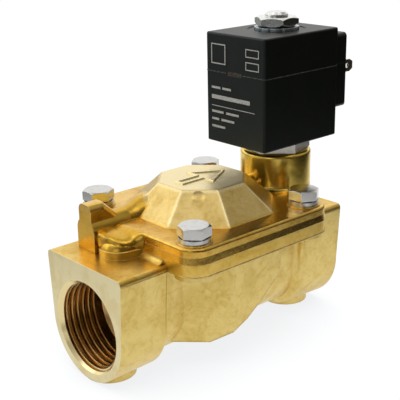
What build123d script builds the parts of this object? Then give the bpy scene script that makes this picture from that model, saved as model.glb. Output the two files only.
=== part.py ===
from build123d import *
import os

# Pilot-operated diaphragm solenoid valve, G1, normally closed.
# Frame: origin at the centre of the inlet port's machined end face,
# +X along the flow from inlet to outlet, +Z up towards the coil, mm.
# Unless noted, X values are measured from the bowl axis; Z is absolute.

# ---------------------------------------------------------------- driving dimensions
PORT_LENGTH = 107.0        # end face to end face
BOWL_X = PORT_LENGTH / 2   # bowl axis, from the origin
COIL_X = 38.36             # coil axis

# ports
THREAD_MINOR_R = 15.15     # G1 thread crest in the hole
THREAD_MAJOR_R = 16.62     # G1 thread root in the hole
THREAD_PITCH = 2.309       # 11 threads per inch
THREAD_END = 17.5          # depth of the threaded wall from the end face
MOUTH_R = 16.7             # countersink at the mouth
MOUTH_DEPTH = 1.4
BORE_R = 12.5              # DN 25 waterway

# body
INLET_BLOCK_X = -33.6      # inner faces of the port blocks
OUTLET_BLOCK_X = 33.2
BLOCK_TOP_Z = 22.8         # flat top of both port blocks
NECK_R = 16.0              # barrel between the blocks
NECK_TOP_Z = 21.0
NECK_FILLET = 1.8
TOP_FILLET = 2.4           # block tops to flange walls
BOWL_APOTHEM = 28.2
BOWL_BOTTOM_Z = -10.5
FLANGE_X = -0.5            # centre of body and bonnet flanges
FLANGE_Z = 20.8            # underside of the body flange
SEAM_Z = 25.5              # joint face between body and bonnet
CAVITY_R = 25.5
SEAT_TUBE_R = BORE_R + 3.0  # outside of the upright tube under the seat
SEAT_Z = 21.98
RIM_R = 30.5               # diaphragm groove
RIM_Z = 23.5

# bonnet
PARTING_Z = 28.0           # forging line round the bonnet's flange
BONNET_TOP_Z = 31.0
PAD_TOP_Z = 31.5           # turned pads under the washers
DOME_APOTHEM_LOW = 26.5
DOME_APOTHEM_TOP = 15.0
DOME_TOP_Z = 41.2
BOSS_R = 13.46             # armature boss
BOSS_TOP_Z = 44.9

# bolts
BOLT_X0, BOLT_X1 = -27.1, 25.5   # bolt rows
BOLT_Y = 26.1
BOLT_R = 2.96              # M6 shank
BOLT_HOLE_R = 3.0
BOLT_CLEAR_R = 3.3
BOLTS = [(x, y) for x in (BOLT_X0, BOLT_X1) for y in (-BOLT_Y, BOLT_Y)]
HEX_TURN = [11.7, 31.0, 33.8, 36.2]     # each head stopped at its own angle

# pilot arm and the upright pilot hole in its post
ARM_Y = 9.5
ARM_END_X = -44.8
ARM_HALF = 4.8
ARM_AXIS_Z = 29.9
POST_X = -37.0             # bowl-side face of the arm's post
ARM_GAP = 0.12             # body cut wider than the arm by this
PILOT_X = -40.8
RING_GROOVE = 1.2          # depth of the O-ring grooves in the pilot feet

# coil and armature
COIL_Z0, COIL_Z1 = 49.16, 89.82
COIL_X0, COIL_X1 = 16.72, 56.0
COIL_HALF_Y = 15.0
COIL_MID_X = (COIL_X0 + COIL_X1) / 2
COIL_BORE_R = 7.07
TUBE_Z0, TUBE_Z1 = 38.4, 77.0    # guide tube
TUBE_R = 7.0
TUBE_BORE_R = 6.40
PLUNGER_R = 6.33
STUD_R = 4.25
STUD_TOP_Z = 96.1

os.makedirs("parts", exist_ok=True)


# ---------------------------------------------------------------- datums and selectors
def level(z, x=0.0, y=0.0):
    """Horizontal plane at height z, centred on the bowl axis plus an offset."""
    return Plane(origin=(BOWL_X + x, y, z))


def coil_level(z):
    """Horizontal plane at height z, centred on the coil axis."""
    return level(z, COIL_X)


def side(x=0.0, y=0.0):
    """Vertical plane along the port axis: local x is X from bowl axis + x, local y is Z."""
    return Plane(origin=(BOWL_X + x, y, 0), x_dir=(1, 0, 0), z_dir=(0, -1, 0))


def cross(x, z=0.0):
    """Vertical plane square to the port axis: local x is Y, local y is Z, normal +X."""
    return Plane(origin=(BOWL_X + x, 0, z), x_dir=(0, 1, 0), z_dir=(1, 0, 0))


def upright(x=0.0, y=0.0):
    """Vertical axis at an offset from the bowl axis."""
    return Axis((BOWL_X + x, y, 0), (0, 0, 1))


PORT_AXIS = Axis((0, 0, 0), (1, 0, 0))
COIL_AXIS = upright(COIL_X)


def at_height(z):
    """Edge test: centre at height z."""
    return lambda edge: abs(edge.center().Z - z) < 0.01


def mirrored(half):
    """Outline ending on y = 0, continued by its mirror image."""
    return half + [(x, -y) for x, y in reversed(half[:-1])]


# ---------------------------------------------------------------- common shapes
def turned(outline, x=0.0):
    """Solid of revolution: outline is (radius, Z) about the upright axis at x."""
    with BuildPart() as solid:
        with BuildSketch(side(x)):
            with BuildLine():
                Polyline(*outline, close=True)
            make_face()
        revolve(axis=upright(x))
    return solid


def square_ring(x, y, z, radius, width, height):
    """Ring of rectangular section; radius and z are those of the section's centre."""
    with BuildPart() as solid:
        with BuildSketch(side(x, y)):
            with Locations((radius, z)):
                Rectangle(width, height)
        revolve(axis=upright(x, y))
    return solid


def coil_tube(z, outer, inner, height):
    """Plain tube on the coil axis, standing on height z."""
    with BuildPart() as solid:
        with BuildSketch(coil_level(z)):
            Circle(outer)
            Circle(inner, mode=Mode.SUBTRACT)
        extrude(amount=height)
    return solid


def coil_spring(x, z, radius, pitch, height, wire_r):
    """Helical spring of round wire on the upright axis at x."""
    path = Helix(pitch=pitch, height=height, radius=radius, center=(BOWL_X + x, 0, z))
    with BuildPart() as solid:
        with BuildSketch(Plane(origin=path @ 0, z_dir=path % 0)):
            Circle(wire_r)
        sweep(path=path, is_frenet=True)
    return solid


# ---------------------------------------------------------------- port blocks
# U-shaped sections: x, half width at the axis, depth below it, half width at the top
INLET_SECTIONS = [(-BOWL_X, 19.15, 19.5, 20.45), (INLET_BLOCK_X, 18.9, 19.3, 20.3)]
OUTLET_SECTIONS = [(OUTLET_BLOCK_X, 18.5, 18.7, 20.1), (BOWL_X, 19.15, 19.5, 20.45)]
SHOULDER_Z = 20.8          # the block sides lean in above this
SHOULDER_IN = 0.15


def port_block(sections, inner_face):
    """Port block; inner_face is the index, along X, of its face towards the bowl."""
    with BuildPart() as block:
        for x, half, low, top_half in sections:
            top_edge = top_half - SHOULDER_IN
            with BuildSketch(cross(x)) as u_section:
                with BuildLine():
                    ThreePointArc((-half, 0), (0, -low), (half, 0))
                    Polyline((half, 0), (top_half, SHOULDER_Z), (top_edge, BLOCK_TOP_Z),
                             (-top_edge, BLOCK_TOP_Z), (-top_half, SHOULDER_Z), (-half, 0))
                make_face()
                fillet(u_section.vertices().group_by(Axis.Y)[-1], radius=1.6)
        loft()
        fillet(block.faces().sort_by(Axis.X)[inner_face].edges(), radius=1.2)
    return block


inlet_block = port_block(INLET_SECTIONS, -1)
outlet_block = port_block(OUTLET_SECTIONS, 0)

# ---------------------------------------------------------------- bowl and waterways
# x, z of the region kept of the bowl: its floor rises towards the outlet
BOWL_FLOOR = [(-30, 23), (-30, BOWL_BOTTOM_Z), (-17.2, BOWL_BOTTOM_Z), (-11.3, -6.5),
              (-4.65, -3.6), (2.3, 1.2), (11.5, 9.2), (23.0, 19.2), (30, 22), (30, 23)]
# x, z of the inlet chamber inside the bowl
CHAMBER = [(-CAVITY_R, 26), (-CAVITY_R, -7), (-17, -7), (-4.65, 0.4), (2.3, 5.2),
           (11.5, 13.6), (14.5, 16.2), (CAVITY_R, 21.4), (CAVITY_R, 26)]
CHAMBER_CUT_Z, CHAMBER_CUT_HEIGHT = -20, 60   # upright cylinders trimming the chamber
BORE_START = THREAD_END - 0.01                # waterways overlap the ports slightly

# octagonal bowl
with BuildPart() as bowl:
    with BuildSketch(level(BOWL_BOTTOM_Z)):
        RegularPolygon(BOWL_APOTHEM - 0.5, 8, major_radius=False, rotation=22.5)
    with BuildSketch(level(FLANGE_Z + 0.4)):
        RegularPolygon(BOWL_APOTHEM, 8, major_radius=False, rotation=22.5)
    loft()
    with BuildSketch(side()):
        with BuildLine():
            Polyline(*BOWL_FLOOR, close=True)
        make_face()
    extrude(amount=32, both=True, mode=Mode.INTERSECT)

# inlet bore and the chamber round the seat tube
with BuildPart() as inlet_way:
    with BuildSketch(side()):
        with BuildLine():
            Polyline(*CHAMBER, close=True)
        make_face()
    extrude(amount=27, both=True)
    with BuildSketch(level(CHAMBER_CUT_Z)):
        Circle(CAVITY_R)
    extrude(amount=CHAMBER_CUT_HEIGHT, mode=Mode.INTERSECT)
    with BuildSketch(cross(-BOWL_X + BORE_START)):
        Circle(BORE_R)
    extrude(amount=31)
    with BuildSketch(level(CHAMBER_CUT_Z)):
        Circle(SEAT_TUBE_R)
    extrude(amount=CHAMBER_CUT_HEIGHT, mode=Mode.SUBTRACT)

# down through the seat and out, with a spherical elbow
with BuildPart() as outlet_way:
    with BuildSketch(level(0)):
        Circle(BORE_R)
    extrude(amount=26)
    with BuildSketch(cross(0)):
        Circle(BORE_R)
    extrude(amount=BOWL_X - BORE_START)
    with Locations((BOWL_X, 0, 0)):
        Sphere(BORE_R)

# ---------------------------------------------------------------- ports
PORT_RUN_IN = 1.5          # length of the cone from the thread down to the waterway
THREAD_DEPTH = THREAD_MAJOR_R - THREAD_MINOR_R
# outward from the crest wall, along the axis
THREAD_GROOVE = [(-0.35, -0.66), (-0.35, 0.66), (THREAD_DEPTH, 0.12), (THREAD_DEPTH, -0.12)]

# countersink, crest wall and run down to the waterway, at both ends
with BuildPart() as ports_cut:
    for sign in (-1, 1):
        face_x = sign * BOWL_X
        thread_x = face_x - sign * THREAD_END
        cone_x = thread_x - sign * PORT_RUN_IN
        with BuildSketch(side()):
            with BuildLine():
                Polyline((face_x + sign * 1.0, 0.0), (face_x + sign * 1.0, MOUTH_R),
                         (face_x, MOUTH_R), (face_x - sign * MOUTH_DEPTH, THREAD_MINOR_R),
                         (thread_x, THREAD_MINOR_R), (cone_x, BORE_R - 0.2), (cone_x, 0.0),
                         close=True)
            make_face()
        revolve(axis=PORT_AXIS)


def port_thread(face_x, inward):
    """Right-hand helical groove starting outside the mouth; face_x is from the origin."""
    helix = Helix(pitch=THREAD_PITCH, height=THREAD_END - 0.6, radius=THREAD_MINOR_R,
                  center=(face_x - inward * THREAD_PITCH * 0.9, 0, 0),
                  direction=(inward, 0, 0))
    start = helix @ 0
    outward = start - Vector(start.X, 0, 0)
    with BuildPart() as thread:
        with BuildSketch(Plane(origin=start, x_dir=outward, z_dir=helix % 0)):
            with BuildLine():
                Polyline(*THREAD_GROOVE, close=True)
            make_face()
        sweep(path=helix, is_frenet=True)
    return thread


inlet_thread = port_thread(0, 1)
outlet_thread = port_thread(PORT_LENGTH, -1)

# ---------------------------------------------------------------- body additions
# x, y of the body's lobe under the bonnet's tongue
LOBE = mirrored([(-34.1, -8.2), (-36.8, -7.34), (-40.58, -6.71), (-43.44, -4.6),
                 (-44.73, -2.24), (-45.05, 0.0)])
LOBE_ROOT_X = -32.6

# room for the part of the arm that hangs below the seam
with BuildPart() as arm_space:
    with BuildSketch(level(24.55, -36.2, ARM_Y)):
        Rectangle(4.0, 2 * ARM_HALF + ARM_GAP)
    extrude(amount=3)

# concave fillets from the block tops up into the flange walls
with BuildPart() as top_fillets:
    for x, out in ((-34.2, -1), (OUTLET_BLOCK_X, 1)):
        fillet_top_z = BLOCK_TOP_Z + TOP_FILLET
        toe_x = x + out * TOP_FILLET
        back_x = x - out * 1.0
        with BuildSketch(side()):
            with BuildLine():
                RadiusArc((toe_x, BLOCK_TOP_Z), (x, fillet_top_z), out * TOP_FILLET)
                Polyline((x, fillet_top_z), (back_x, fillet_top_z), (back_x, BLOCK_TOP_Z - 1.0),
                         (toe_x, BLOCK_TOP_Z - 1.0), (toe_x, BLOCK_TOP_Z))
            make_face()
        extrude(amount=18.3, both=True)
    # clear of the armature boss and of the pilot arm
    with BuildSketch(coil_level(BLOCK_TOP_Z)):
        Circle(BOSS_R + 0.1)
    extrude(amount=5, mode=Mode.SUBTRACT)
    add(arm_space.part, mode=Mode.SUBTRACT)

with BuildPart() as body_lobe:
    with BuildSketch(level(BLOCK_TOP_Z - 1.0)):
        with BuildLine():
            Spline(*LOBE)
            Polyline(LOBE[-1], (LOBE_ROOT_X, LOBE[-1][1]), (LOBE_ROOT_X, LOBE[0][1]), LOBE[0])
        make_face()
    extrude(amount=SEAM_Z - BLOCK_TOP_Z + 1.0)
    fillet(body_lobe.edges().filter_by(
        lambda edge: abs(edge.center().Z - SEAM_Z) < 0.01 and edge.center().X < BOWL_X - 34.5),
        radius=0.4)
    # room for the arm's post, open at its far end
    post_cut_x = POST_X + 0.1
    with BuildSketch(level(BLOCK_TOP_Z, (ARM_END_X + post_cut_x) / 2 - 1.0, ARM_Y)):
        Rectangle(post_cut_x - ARM_END_X + 2.0, 2 * ARM_HALF + ARM_GAP)
    extrude(amount=5, mode=Mode.SUBTRACT)
    add(arm_space.part, mode=Mode.SUBTRACT)

# ---------------------------------------------------------------- body
FOOT_X, FOOT_R, FOOT_Z = 44.3, 9.0, -19.8
# radius, z of the cut that chamfers the main seat's lip
SEAT_LIP = [(13.7, SEAT_Z + 0.5), (13.7, SEAT_Z), (15.6, SEAT_Z - 1.9),
            (16.6, SEAT_Z - 1.9), (16.6, SEAT_Z + 0.5)]
# plane square to the drilling, radius, length
PILOT_DRILLINGS = [
    (Plane(origin=(BOWL_X + PILOT_X, ARM_Y, 19.0), z_dir=(7.6, -1.5, -8.6)), 1.25, 12.5),
    (Plane(origin=(BOWL_X + COIL_X + 0.5, 0, 23.6), z_dir=(-5.6, 0, -12.8)), 1.3, 15.5)]

with BuildPart() as valve_body:
    # neck: round below the axis, upright walls above it
    with BuildSketch(cross(-38)):
        Circle(NECK_R)
        with Locations((0, NECK_TOP_Z / 2)):
            Rectangle(2 * NECK_R, NECK_TOP_Z)
    extrude(amount=76)
    add(inlet_block.part)
    add(outlet_block.part)
    # concave fillets where the neck runs into the two port blocks
    fillet_r = NECK_R + NECK_FILLET
    for x, out in ((INLET_BLOCK_X, -1), (OUTLET_BLOCK_X, 1)):
        neck_x = x - out * NECK_FILLET
        block_x = x + out * 0.8
        # turned round the port axis
        with BuildSketch(side()):
            with BuildLine():
                Line((neck_x, NECK_R), (neck_x, 12))
                Polyline((neck_x, 12), (block_x, 12), (block_x, fillet_r), (x, fillet_r))
                RadiusArc((x, fillet_r), (neck_x, NECK_R), out * NECK_FILLET)
            make_face()
        revolve(axis=PORT_AXIS)
        # straight up the upright walls
        with BuildSketch(level(0)):
            with BuildLine():
                RadiusArc((x, fillet_r), (neck_x, NECK_R), out * NECK_FILLET)
                Line((neck_x, NECK_R), (neck_x, -NECK_R))
                RadiusArc((neck_x, -NECK_R), (x, -fillet_r), out * NECK_FILLET)
                Polyline((x, -fillet_r), (block_x, -fillet_r), (block_x, fillet_r),
                         (x, fillet_r))
            make_face()
        extrude(amount=NECK_TOP_Z)
    add(bowl.part)
    # square flange with a boss under each bolt
    with BuildSketch(level(FLANGE_Z, FLANGE_X)):
        RectangleRounded(67.4, 66.6, 7.0)
    extrude(amount=SEAM_Z - FLANGE_Z)
    with BuildSketch(level(19.4)):
        with Locations(*BOLTS):
            Circle(6.9)
    extrude(amount=2.5)
    # round foot pads
    with BuildSketch(level(FOOT_Z)):
        with Locations((-FOOT_X, 0), (FOOT_X, 0)):
            Circle(FOOT_R)
    extrude(amount=8)
    add(top_fillets.part)
    add(body_lobe.part)
    for cutter in (inlet_way, outlet_way, ports_cut, inlet_thread, outlet_thread):
        add(cutter.part, mode=Mode.SUBTRACT)
    # groove for the diaphragm rim, then the open bowl above the chamber
    for z, radius in ((RIM_Z, RIM_R), (SEAT_Z, CAVITY_R)):
        with BuildSketch(level(z)):
            Circle(radius)
        extrude(amount=5, mode=Mode.SUBTRACT)
    with BuildSketch(side()):
        with BuildLine():
            Polyline(*SEAT_LIP, close=True)
        make_face()
    revolve(axis=upright(), mode=Mode.SUBTRACT)
    # tapped bolt holes
    with BuildSketch(level(18)):
        with Locations(*BOLTS):
            Circle(BOLT_HOLE_R)
    extrude(amount=9, mode=Mode.SUBTRACT)
    # pocket for the strainer in the inlet pilot hole
    with BuildSketch(level(18.2, PILOT_X, ARM_Y)):
        Circle(2.9)
    extrude(amount=6, mode=Mode.SUBTRACT)
    # slanted drillings: below the strainer, and below the armature boss
    for drill_plane, radius, length in PILOT_DRILLINGS:
        with BuildSketch(drill_plane):
            Circle(radius)
        extrude(amount=length, mode=Mode.SUBTRACT)

# ---------------------------------------------------------------- bonnet dome
with BuildPart() as dome_cavity:
    with BuildSketch(level(SEAM_Z - 1)):
        Circle(CAVITY_R)
    extrude(amount=1.001)
    with BuildSketch(level(SEAM_Z)):
        Circle(CAVITY_R)
    with BuildSketch(level(37.7)):
        Circle(12.5)
    loft()

with BuildPart() as dome:
    with BuildSketch(level(BONNET_TOP_Z - 1.0)):
        RegularPolygon(DOME_APOTHEM_LOW + 0.2, 8, major_radius=False, rotation=22.5)
    with BuildSketch(level(DOME_TOP_Z)):
        RegularPolygon(DOME_APOTHEM_TOP, 8, major_radius=False, rotation=22.5)
    loft()
    fillet(dome.edges().filter_by(lambda edge: edge.center().Z > BONNET_TOP_Z), radius=1.1)

# ---------------------------------------------------------------- pilot arm
RIB_HALF = 3.4
# x, z of the rib standing on the arm
RIB = [(ARM_END_X, 29.5), (ARM_END_X, 39.4), (-38.6, 39.4), (-32.6, 33.8), (-32.6, 29.5)]
# x and radius of the arm's swelling towards the dome
FLARE = [(-30.0, ARM_HALF - 0.03), (-27.0, 5.0), (-24.6, 5.6), (-22.4, 6.5), (-19.8, 7.3),
         (-17.6, 7.5)]

with BuildPart() as rib:
    with BuildSketch(side(0, ARM_Y)):
        with BuildLine():
            Polyline(*RIB, close=True)
        make_face()
    extrude(amount=RIB_HALF, both=True)
    fillet(rib.edges().filter_by(
        lambda edge: edge.center().Z > 33
        and abs(abs(edge.center().Y - ARM_Y) - RIB_HALF) < 0.01
        and edge.center().X > BOWL_X + ARM_END_X + 0.5), radius=2.3)

with BuildPart() as arm:
    with BuildSketch(cross(ARM_END_X)):
        with Locations((ARM_Y, ARM_AXIS_Z)):
            Circle(ARM_HALF)
        with Locations((ARM_Y, (SEAM_Z + ARM_AXIS_Z) / 2)):
            Rectangle(2 * ARM_HALF, ARM_AXIS_Z - SEAM_Z)
        with Locations((ARM_Y, SEAM_Z - 3)):
            Rectangle(4 * ARM_HALF, 6, mode=Mode.SUBTRACT)
    extrude(amount=29)
    # the arm hangs a little below the seam between its post and the flange
    with BuildSketch(level(24.6, -36.3, ARM_Y)):
        Rectangle(3.6, 2 * ARM_HALF)
    extrude(amount=2)
    # post down to the block top
    with BuildSketch(level(BLOCK_TOP_Z, (ARM_END_X + POST_X) / 2, ARM_Y)):
        Rectangle(POST_X - ARM_END_X, 2 * ARM_HALF)
    extrude(amount=6)

# the arm swells where it runs into the dome
with BuildPart() as arm_flare:
    flare_line = [(x, ARM_AXIS_Z + radius) for x, radius in FLARE]
    flare_x0, flare_x1 = FLARE[0][0], FLARE[-1][0]
    with BuildSketch(side(0, ARM_Y)):
        with BuildLine():
            Polyline((flare_x0, ARM_AXIS_Z), flare_line[0])
            Spline(*flare_line)
            Polyline(flare_line[-1], (flare_x1, ARM_AXIS_Z), (flare_x0, ARM_AXIS_Z))
        make_face()
    revolve(axis=Axis((BOWL_X, ARM_Y, ARM_AXIS_Z), (1, 0, 0)))
    with BuildSketch(level(28.0, -24, ARM_Y)):
        Rectangle(14, 24)
    extrude(amount=16, mode=Mode.INTERSECT)

# ---------------------------------------------------------------- tongue and boss foot
# tongue of the flange beside the pilot arm, its sides rounding over to a flat top and a
# low nose: z, then x, y of half the outline
TONGUE_SECTIONS = [
    (SEAM_Z, [(-34.0, -7.8), (-36.7, -6.9), (-40.4, -6.3), (-43.1, -4.3), (-44.3, -2.1),
              (-44.6, 0.0)]),
    (27.5, [(-34.0, -7.1), (-36.6, -6.1), (-39.9, -5.4), (-42.2, -3.5), (-43.2, -1.7),
            (-43.4, 0.0)]),
    (28.6, [(-34.0, -4.2), (-36.2, -3.3), (-38.6, -2.7), (-40.2, -1.7), (-40.8, -0.9),
            (-40.9, 0.0)])]
TONGUE_ROOT_X = -32.0
# radius, z of the sweep round the boss foot
BOSS_FOOT = [(12.5, 30.5), (12.5, 33.4), (BOSS_R, 33.4), (13.62, 32.5), (14.05, 31.75),
             (14.75, 31.25), (15.8, 31.0), (15.8, 30.5)]

with BuildPart() as tongue:
    for z, half_outline in TONGUE_SECTIONS:
        outline = mirrored(half_outline)
        with BuildSketch(level(z)):
            with BuildLine():
                Spline(*outline)
                Polyline(outline[-1], (TONGUE_ROOT_X, outline[-1][1]),
                         (TONGUE_ROOT_X, outline[0][1]), outline[0])
            make_face()
    loft()

# concave sweep from the flange's top face up into the foot of the boss
with BuildPart() as boss_foot:
    with BuildSketch(side(COIL_X)):
        with BuildLine():
            Polyline(*BOSS_FOOT, close=True)
        make_face()
    revolve(axis=COIL_AXIS)
    with BuildSketch(level(30, 16)):
        Rectangle(32, 40)
    extrude(amount=5, mode=Mode.INTERSECT)

# ---------------------------------------------------------------- bonnet
# flange wall, drafted below the forging line and nearly upright above it:
# z from, z to, length, width, corner radius, taper in degrees
FLANGE_BANDS = [(SEAM_Z, PARTING_Z, 67.9, 67.1, 7.1, 7),
                (PARTING_Z, BONNET_TOP_Z, 67.25, 66.45, 6.8, 1)]
# x, y of the flow arrow's outer and inner outlines
ARROW = [(-11, 2.2), (-1, 2.2), (-1, 7.2), (11.4, 0), (-1, -7.2), (-1, -2.2), (-11, -2.2)]
ARROW_INNER = [(-10.1, 1.3), (-0.1, 1.3), (-0.1, 5.64), (9.6, 0), (-0.1, -5.64),
               (-0.1, -1.3), (-10.1, -1.3)]
# on the coil axis: z of the floor, radius, height
BOSS_BORES = [(36.9, 10.45, 12),   # armature bore
              (33.5, 8.2, 6),      # pilot chamber
              (29.5, 3.4, 6),      # nozzle seat
              (20, 1.5, 12)]       # drain
# x, y, outer and inner radius
FOOT_GROOVES = [(PILOT_X, ARM_Y, 3.7, 2.0), (COIL_X, 0, 4.7, 2.9)]

with BuildPart() as bonnet:
    for z0, z1, length, width, corner, taper in FLANGE_BANDS:
        with BuildSketch(level(z0, FLANGE_X)):
            RectangleRounded(length, width, corner)
        extrude(amount=z1 - z0, taper=taper)
    fillet(bonnet.edges().filter_by(at_height(BONNET_TOP_Z)), radius=1.0)
    for addition in (tongue, arm_flare, arm, rib, dome):
        add(addition.part)
    # armature boss with its bridge to the dome
    with BuildSketch(coil_level(BLOCK_TOP_Z)):
        Circle(BOSS_R)
    extrude(amount=BOSS_TOP_Z - BLOCK_TOP_Z)
    fillet(bonnet.edges().filter_by(GeomType.CIRCLE).filter_by(at_height(BOSS_TOP_Z)),
           radius=1.4)
    with BuildSketch(cross(12)):
        with Locations((0, 31.5)):
            Rectangle(9.0, 6.0)
        with Locations((0, 34.0)):
            Circle(2.9)
    extrude(amount=20)
    add(boss_foot.part)
    # step over the body flange
    with BuildSketch(level(BLOCK_TOP_Z - 1, 27.1)):
        Rectangle(14.0, 60.0)
    extrude(amount=SEAM_Z - BLOCK_TOP_Z + 1, mode=Mode.SUBTRACT)
    # turned pads under the bolt washers
    with BuildSketch(level(BONNET_TOP_Z - 1)):
        with Locations(*BOLTS):
            Circle(6.0)
    extrude(amount=PAD_TOP_Z - BONNET_TOP_Z + 1)
    with BuildSketch(level(PAD_TOP_Z)):
        with Locations(*BOLTS):
            Circle(6.2)
    extrude(amount=6, mode=Mode.SUBTRACT)
    # raised flow arrow, outline only
    with BuildSketch(level(DOME_TOP_Z - 0.3)):
        with BuildLine():
            Polyline(*ARROW, close=True)
        make_face()
        with BuildLine():
            Polyline(*ARROW_INNER, close=True)
        make_face(mode=Mode.SUBTRACT)
    extrude(amount=0.7)
    # spherical dimple on one dome face
    with Locations((BOWL_X - 15.91, -15.31, 44.63)):
        Sphere(7.73, mode=Mode.SUBTRACT)
    add(dome_cavity.part, mode=Mode.SUBTRACT)
    for z, radius, height in BOSS_BORES:
        with BuildSketch(coil_level(z)):
            Circle(radius)
        extrude(amount=height, mode=Mode.SUBTRACT)
    # passage from the dome to the pilot chamber
    with BuildSketch(cross(10)):
        with Locations((0, 35.0)):
            Circle(1.2)
    extrude(amount=23, mode=Mode.SUBTRACT)
    # pilot feed: up the post, along the arm, into the dome
    with BuildSketch(level(20, PILOT_X, ARM_Y)):
        Circle(1.5)
    extrude(amount=10.5, mode=Mode.SUBTRACT)
    with BuildSketch(cross(-42.0)):
        with Locations((ARM_Y, ARM_AXIS_Z)):
            Circle(1.3)
    extrude(amount=30, mode=Mode.SUBTRACT)
    # O-ring grooves in the two pilot feet
    for x, y, outer, inner in FOOT_GROOVES:
        with BuildSketch(level(BLOCK_TOP_Z, x, y)):
            Circle(outer)
            Circle(inner, mode=Mode.SUBTRACT)
        extrude(amount=RING_GROOVE, mode=Mode.SUBTRACT)
    # bolt holes
    with BuildSketch(level(SEAM_Z - 1)):
        with Locations(*BOLTS):
            Circle(BOLT_CLEAR_R)
    extrude(amount=9, mode=Mode.SUBTRACT)

# ---------------------------------------------------------------- fasteners of the bonnet
HEAD_APOTHEM = 5.0         # M6 heads and nut
WASHER_THICKNESS = 1.5
# radius, z of the cut that turns the head's corners off at 30 degrees
HEAD_CORNER = [(4.75, 37.0), (6.4, 36.05), (6.4, 37.0)]

with BuildPart() as bonnet_bolts:
    for (x, y), turn in zip(BOLTS, HEX_TURN):
        # washer face, hexagon, shank
        with BuildSketch(level(33.02, x, y)):
            Circle(4.6)
        extrude(amount=0.6)
        with BuildSketch(level(33.38, x, y)):
            RegularPolygon(HEAD_APOTHEM, 6, major_radius=False, rotation=turn)
        extrude(amount=3.54)
        with BuildSketch(side(x, y)):
            with BuildLine():
                Polyline(*HEAD_CORNER, close=True)
            make_face()
        revolve(axis=upright(x, y), mode=Mode.SUBTRACT)
        with BuildSketch(level(21.0, x, y)):
            Circle(BOLT_R)
        extrude(amount=12.1)

# each washer is split at its own angle
with BuildPart() as bolt_spring_washers:
    for (x, y), turn in zip(BOLTS, HEX_TURN):
        with BuildSketch(level(PAD_TOP_Z, x, y)):
            Circle(5.4)
            Circle(3.15, mode=Mode.SUBTRACT)
            with Locations(Location((0, 0), turn * 3 + 40)):
                with Locations((4.5, 0)):
                    Rectangle(4.0, 0.7, mode=Mode.SUBTRACT)
        extrude(amount=WASHER_THICKNESS)

# ---------------------------------------------------------------- diaphragm group
STACK_BORE_R = 3.06        # hole for the screw through the stack
SCREW_R = 3.0
HEAD_Z = 15.2              # underside of the screw head
DISC_Z = 19.2              # stack heights, from the bottom up
DIAPHRAGM_Z = 22.0
PLATE_Z = 23.4
HUB_Z = 25.4
NUT_Z = 26.4
# radius, z
DIAPHRAGM = [(STACK_BORE_R, DIAPHRAGM_Z), (16.2, DIAPHRAGM_Z), (19.0, 22.5), (25.6, 23.9),
             (26.2, RIM_Z), (30.4, RIM_Z), (30.4, SEAM_Z), (26.0, SEAM_Z), (25.0, 25.1),
             (18.6, 23.8), (16.0, PLATE_Z), (STACK_BORE_R, PLATE_Z)]

main_diaphragm = turned(DIAPHRAGM)

with BuildPart() as diaphragm_support_plate:
    with BuildSketch(level(PLATE_Z)):
        Circle(14.5)
    extrude(amount=HUB_Z - PLATE_Z)
    with BuildSketch(level(HUB_Z)):
        Circle(7.0)
    extrude(amount=NUT_Z - HUB_Z)
    fillet(diaphragm_support_plate.edges().filter_by(GeomType.CIRCLE).filter_by(
        lambda edge: edge.radius > 14), radius=0.5)
    with BuildSketch(level(20)):
        Circle(STACK_BORE_R)
    extrude(amount=10, mode=Mode.SUBTRACT)

with BuildPart() as diaphragm_guide_disc:
    with BuildSketch(level(DISC_Z)):
        Circle(11.6)
    extrude(amount=DIAPHRAGM_Z - DISC_Z)
    chamfer(diaphragm_guide_disc.edges().filter_by(GeomType.CIRCLE).group_by(Axis.Z)[0],
            length=0.8)
    with BuildSketch(level(15)):
        Circle(STACK_BORE_R)
    extrude(amount=10, mode=Mode.SUBTRACT)

with BuildPart() as diaphragm_screw:
    with BuildSketch(level(HEAD_Z)):
        RegularPolygon(HEAD_APOTHEM, 6, major_radius=False)
    extrude(amount=DISC_Z - HEAD_Z)
    with BuildSketch(level(DISC_Z - 0.2)):
        Circle(SCREW_R)
    extrude(amount=11.4)
    chamfer(diaphragm_screw.edges().filter_by(GeomType.CIRCLE).group_by(Axis.Z)[-1],
            length=0.6)

with BuildPart() as diaphragm_nut:
    with BuildSketch(level(NUT_Z)):
        RegularPolygon(HEAD_APOTHEM, 6, major_radius=False, rotation=15)
        Circle(SCREW_R, mode=Mode.SUBTRACT)
    extrude(amount=3.2)

closing_spring = coil_spring(x=0, z=26.1, radius=8.4, pitch=2.83, height=9.9, wire_r=0.6)

# ---------------------------------------------------------------- pilot circuit
# radius, z
NOZZLE = [(1.1, 30.2), (3.4, 30.2), (3.4, 34.2), (2.4, 34.2), (1.7, 36.38), (1.1, 36.38)]
FOOT_RING_Z = BLOCK_TOP_Z + RING_GROOVE / 2
FOOT_RING_HEIGHT = 1.16

# cup with a grid of holes in its floor
with BuildPart() as pilot_strainer:
    with BuildSketch(level(18.3, PILOT_X, ARM_Y)):
        Circle(2.85)
    extrude(amount=4.4)
    with BuildSketch(level(18.9, PILOT_X, ARM_Y)):
        Circle(2.35)
    extrude(amount=4, mode=Mode.SUBTRACT)
    with BuildSketch(level(18.0, PILOT_X, ARM_Y)):
        with GridLocations(1.1, 1.1, 3, 3):
            Circle(0.32)
    extrude(amount=1.2, mode=Mode.SUBTRACT)

inlet_pilot_o_ring = square_ring(PILOT_X, ARM_Y, FOOT_RING_Z, radius=2.85, width=1.5,
                                 height=FOOT_RING_HEIGHT)
outlet_pilot_o_ring = square_ring(COIL_X, 0, FOOT_RING_Z, radius=3.8, width=1.6,
                                  height=FOOT_RING_HEIGHT)
pilot_nozzle = turned(NOZZLE, COIL_X)

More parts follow.
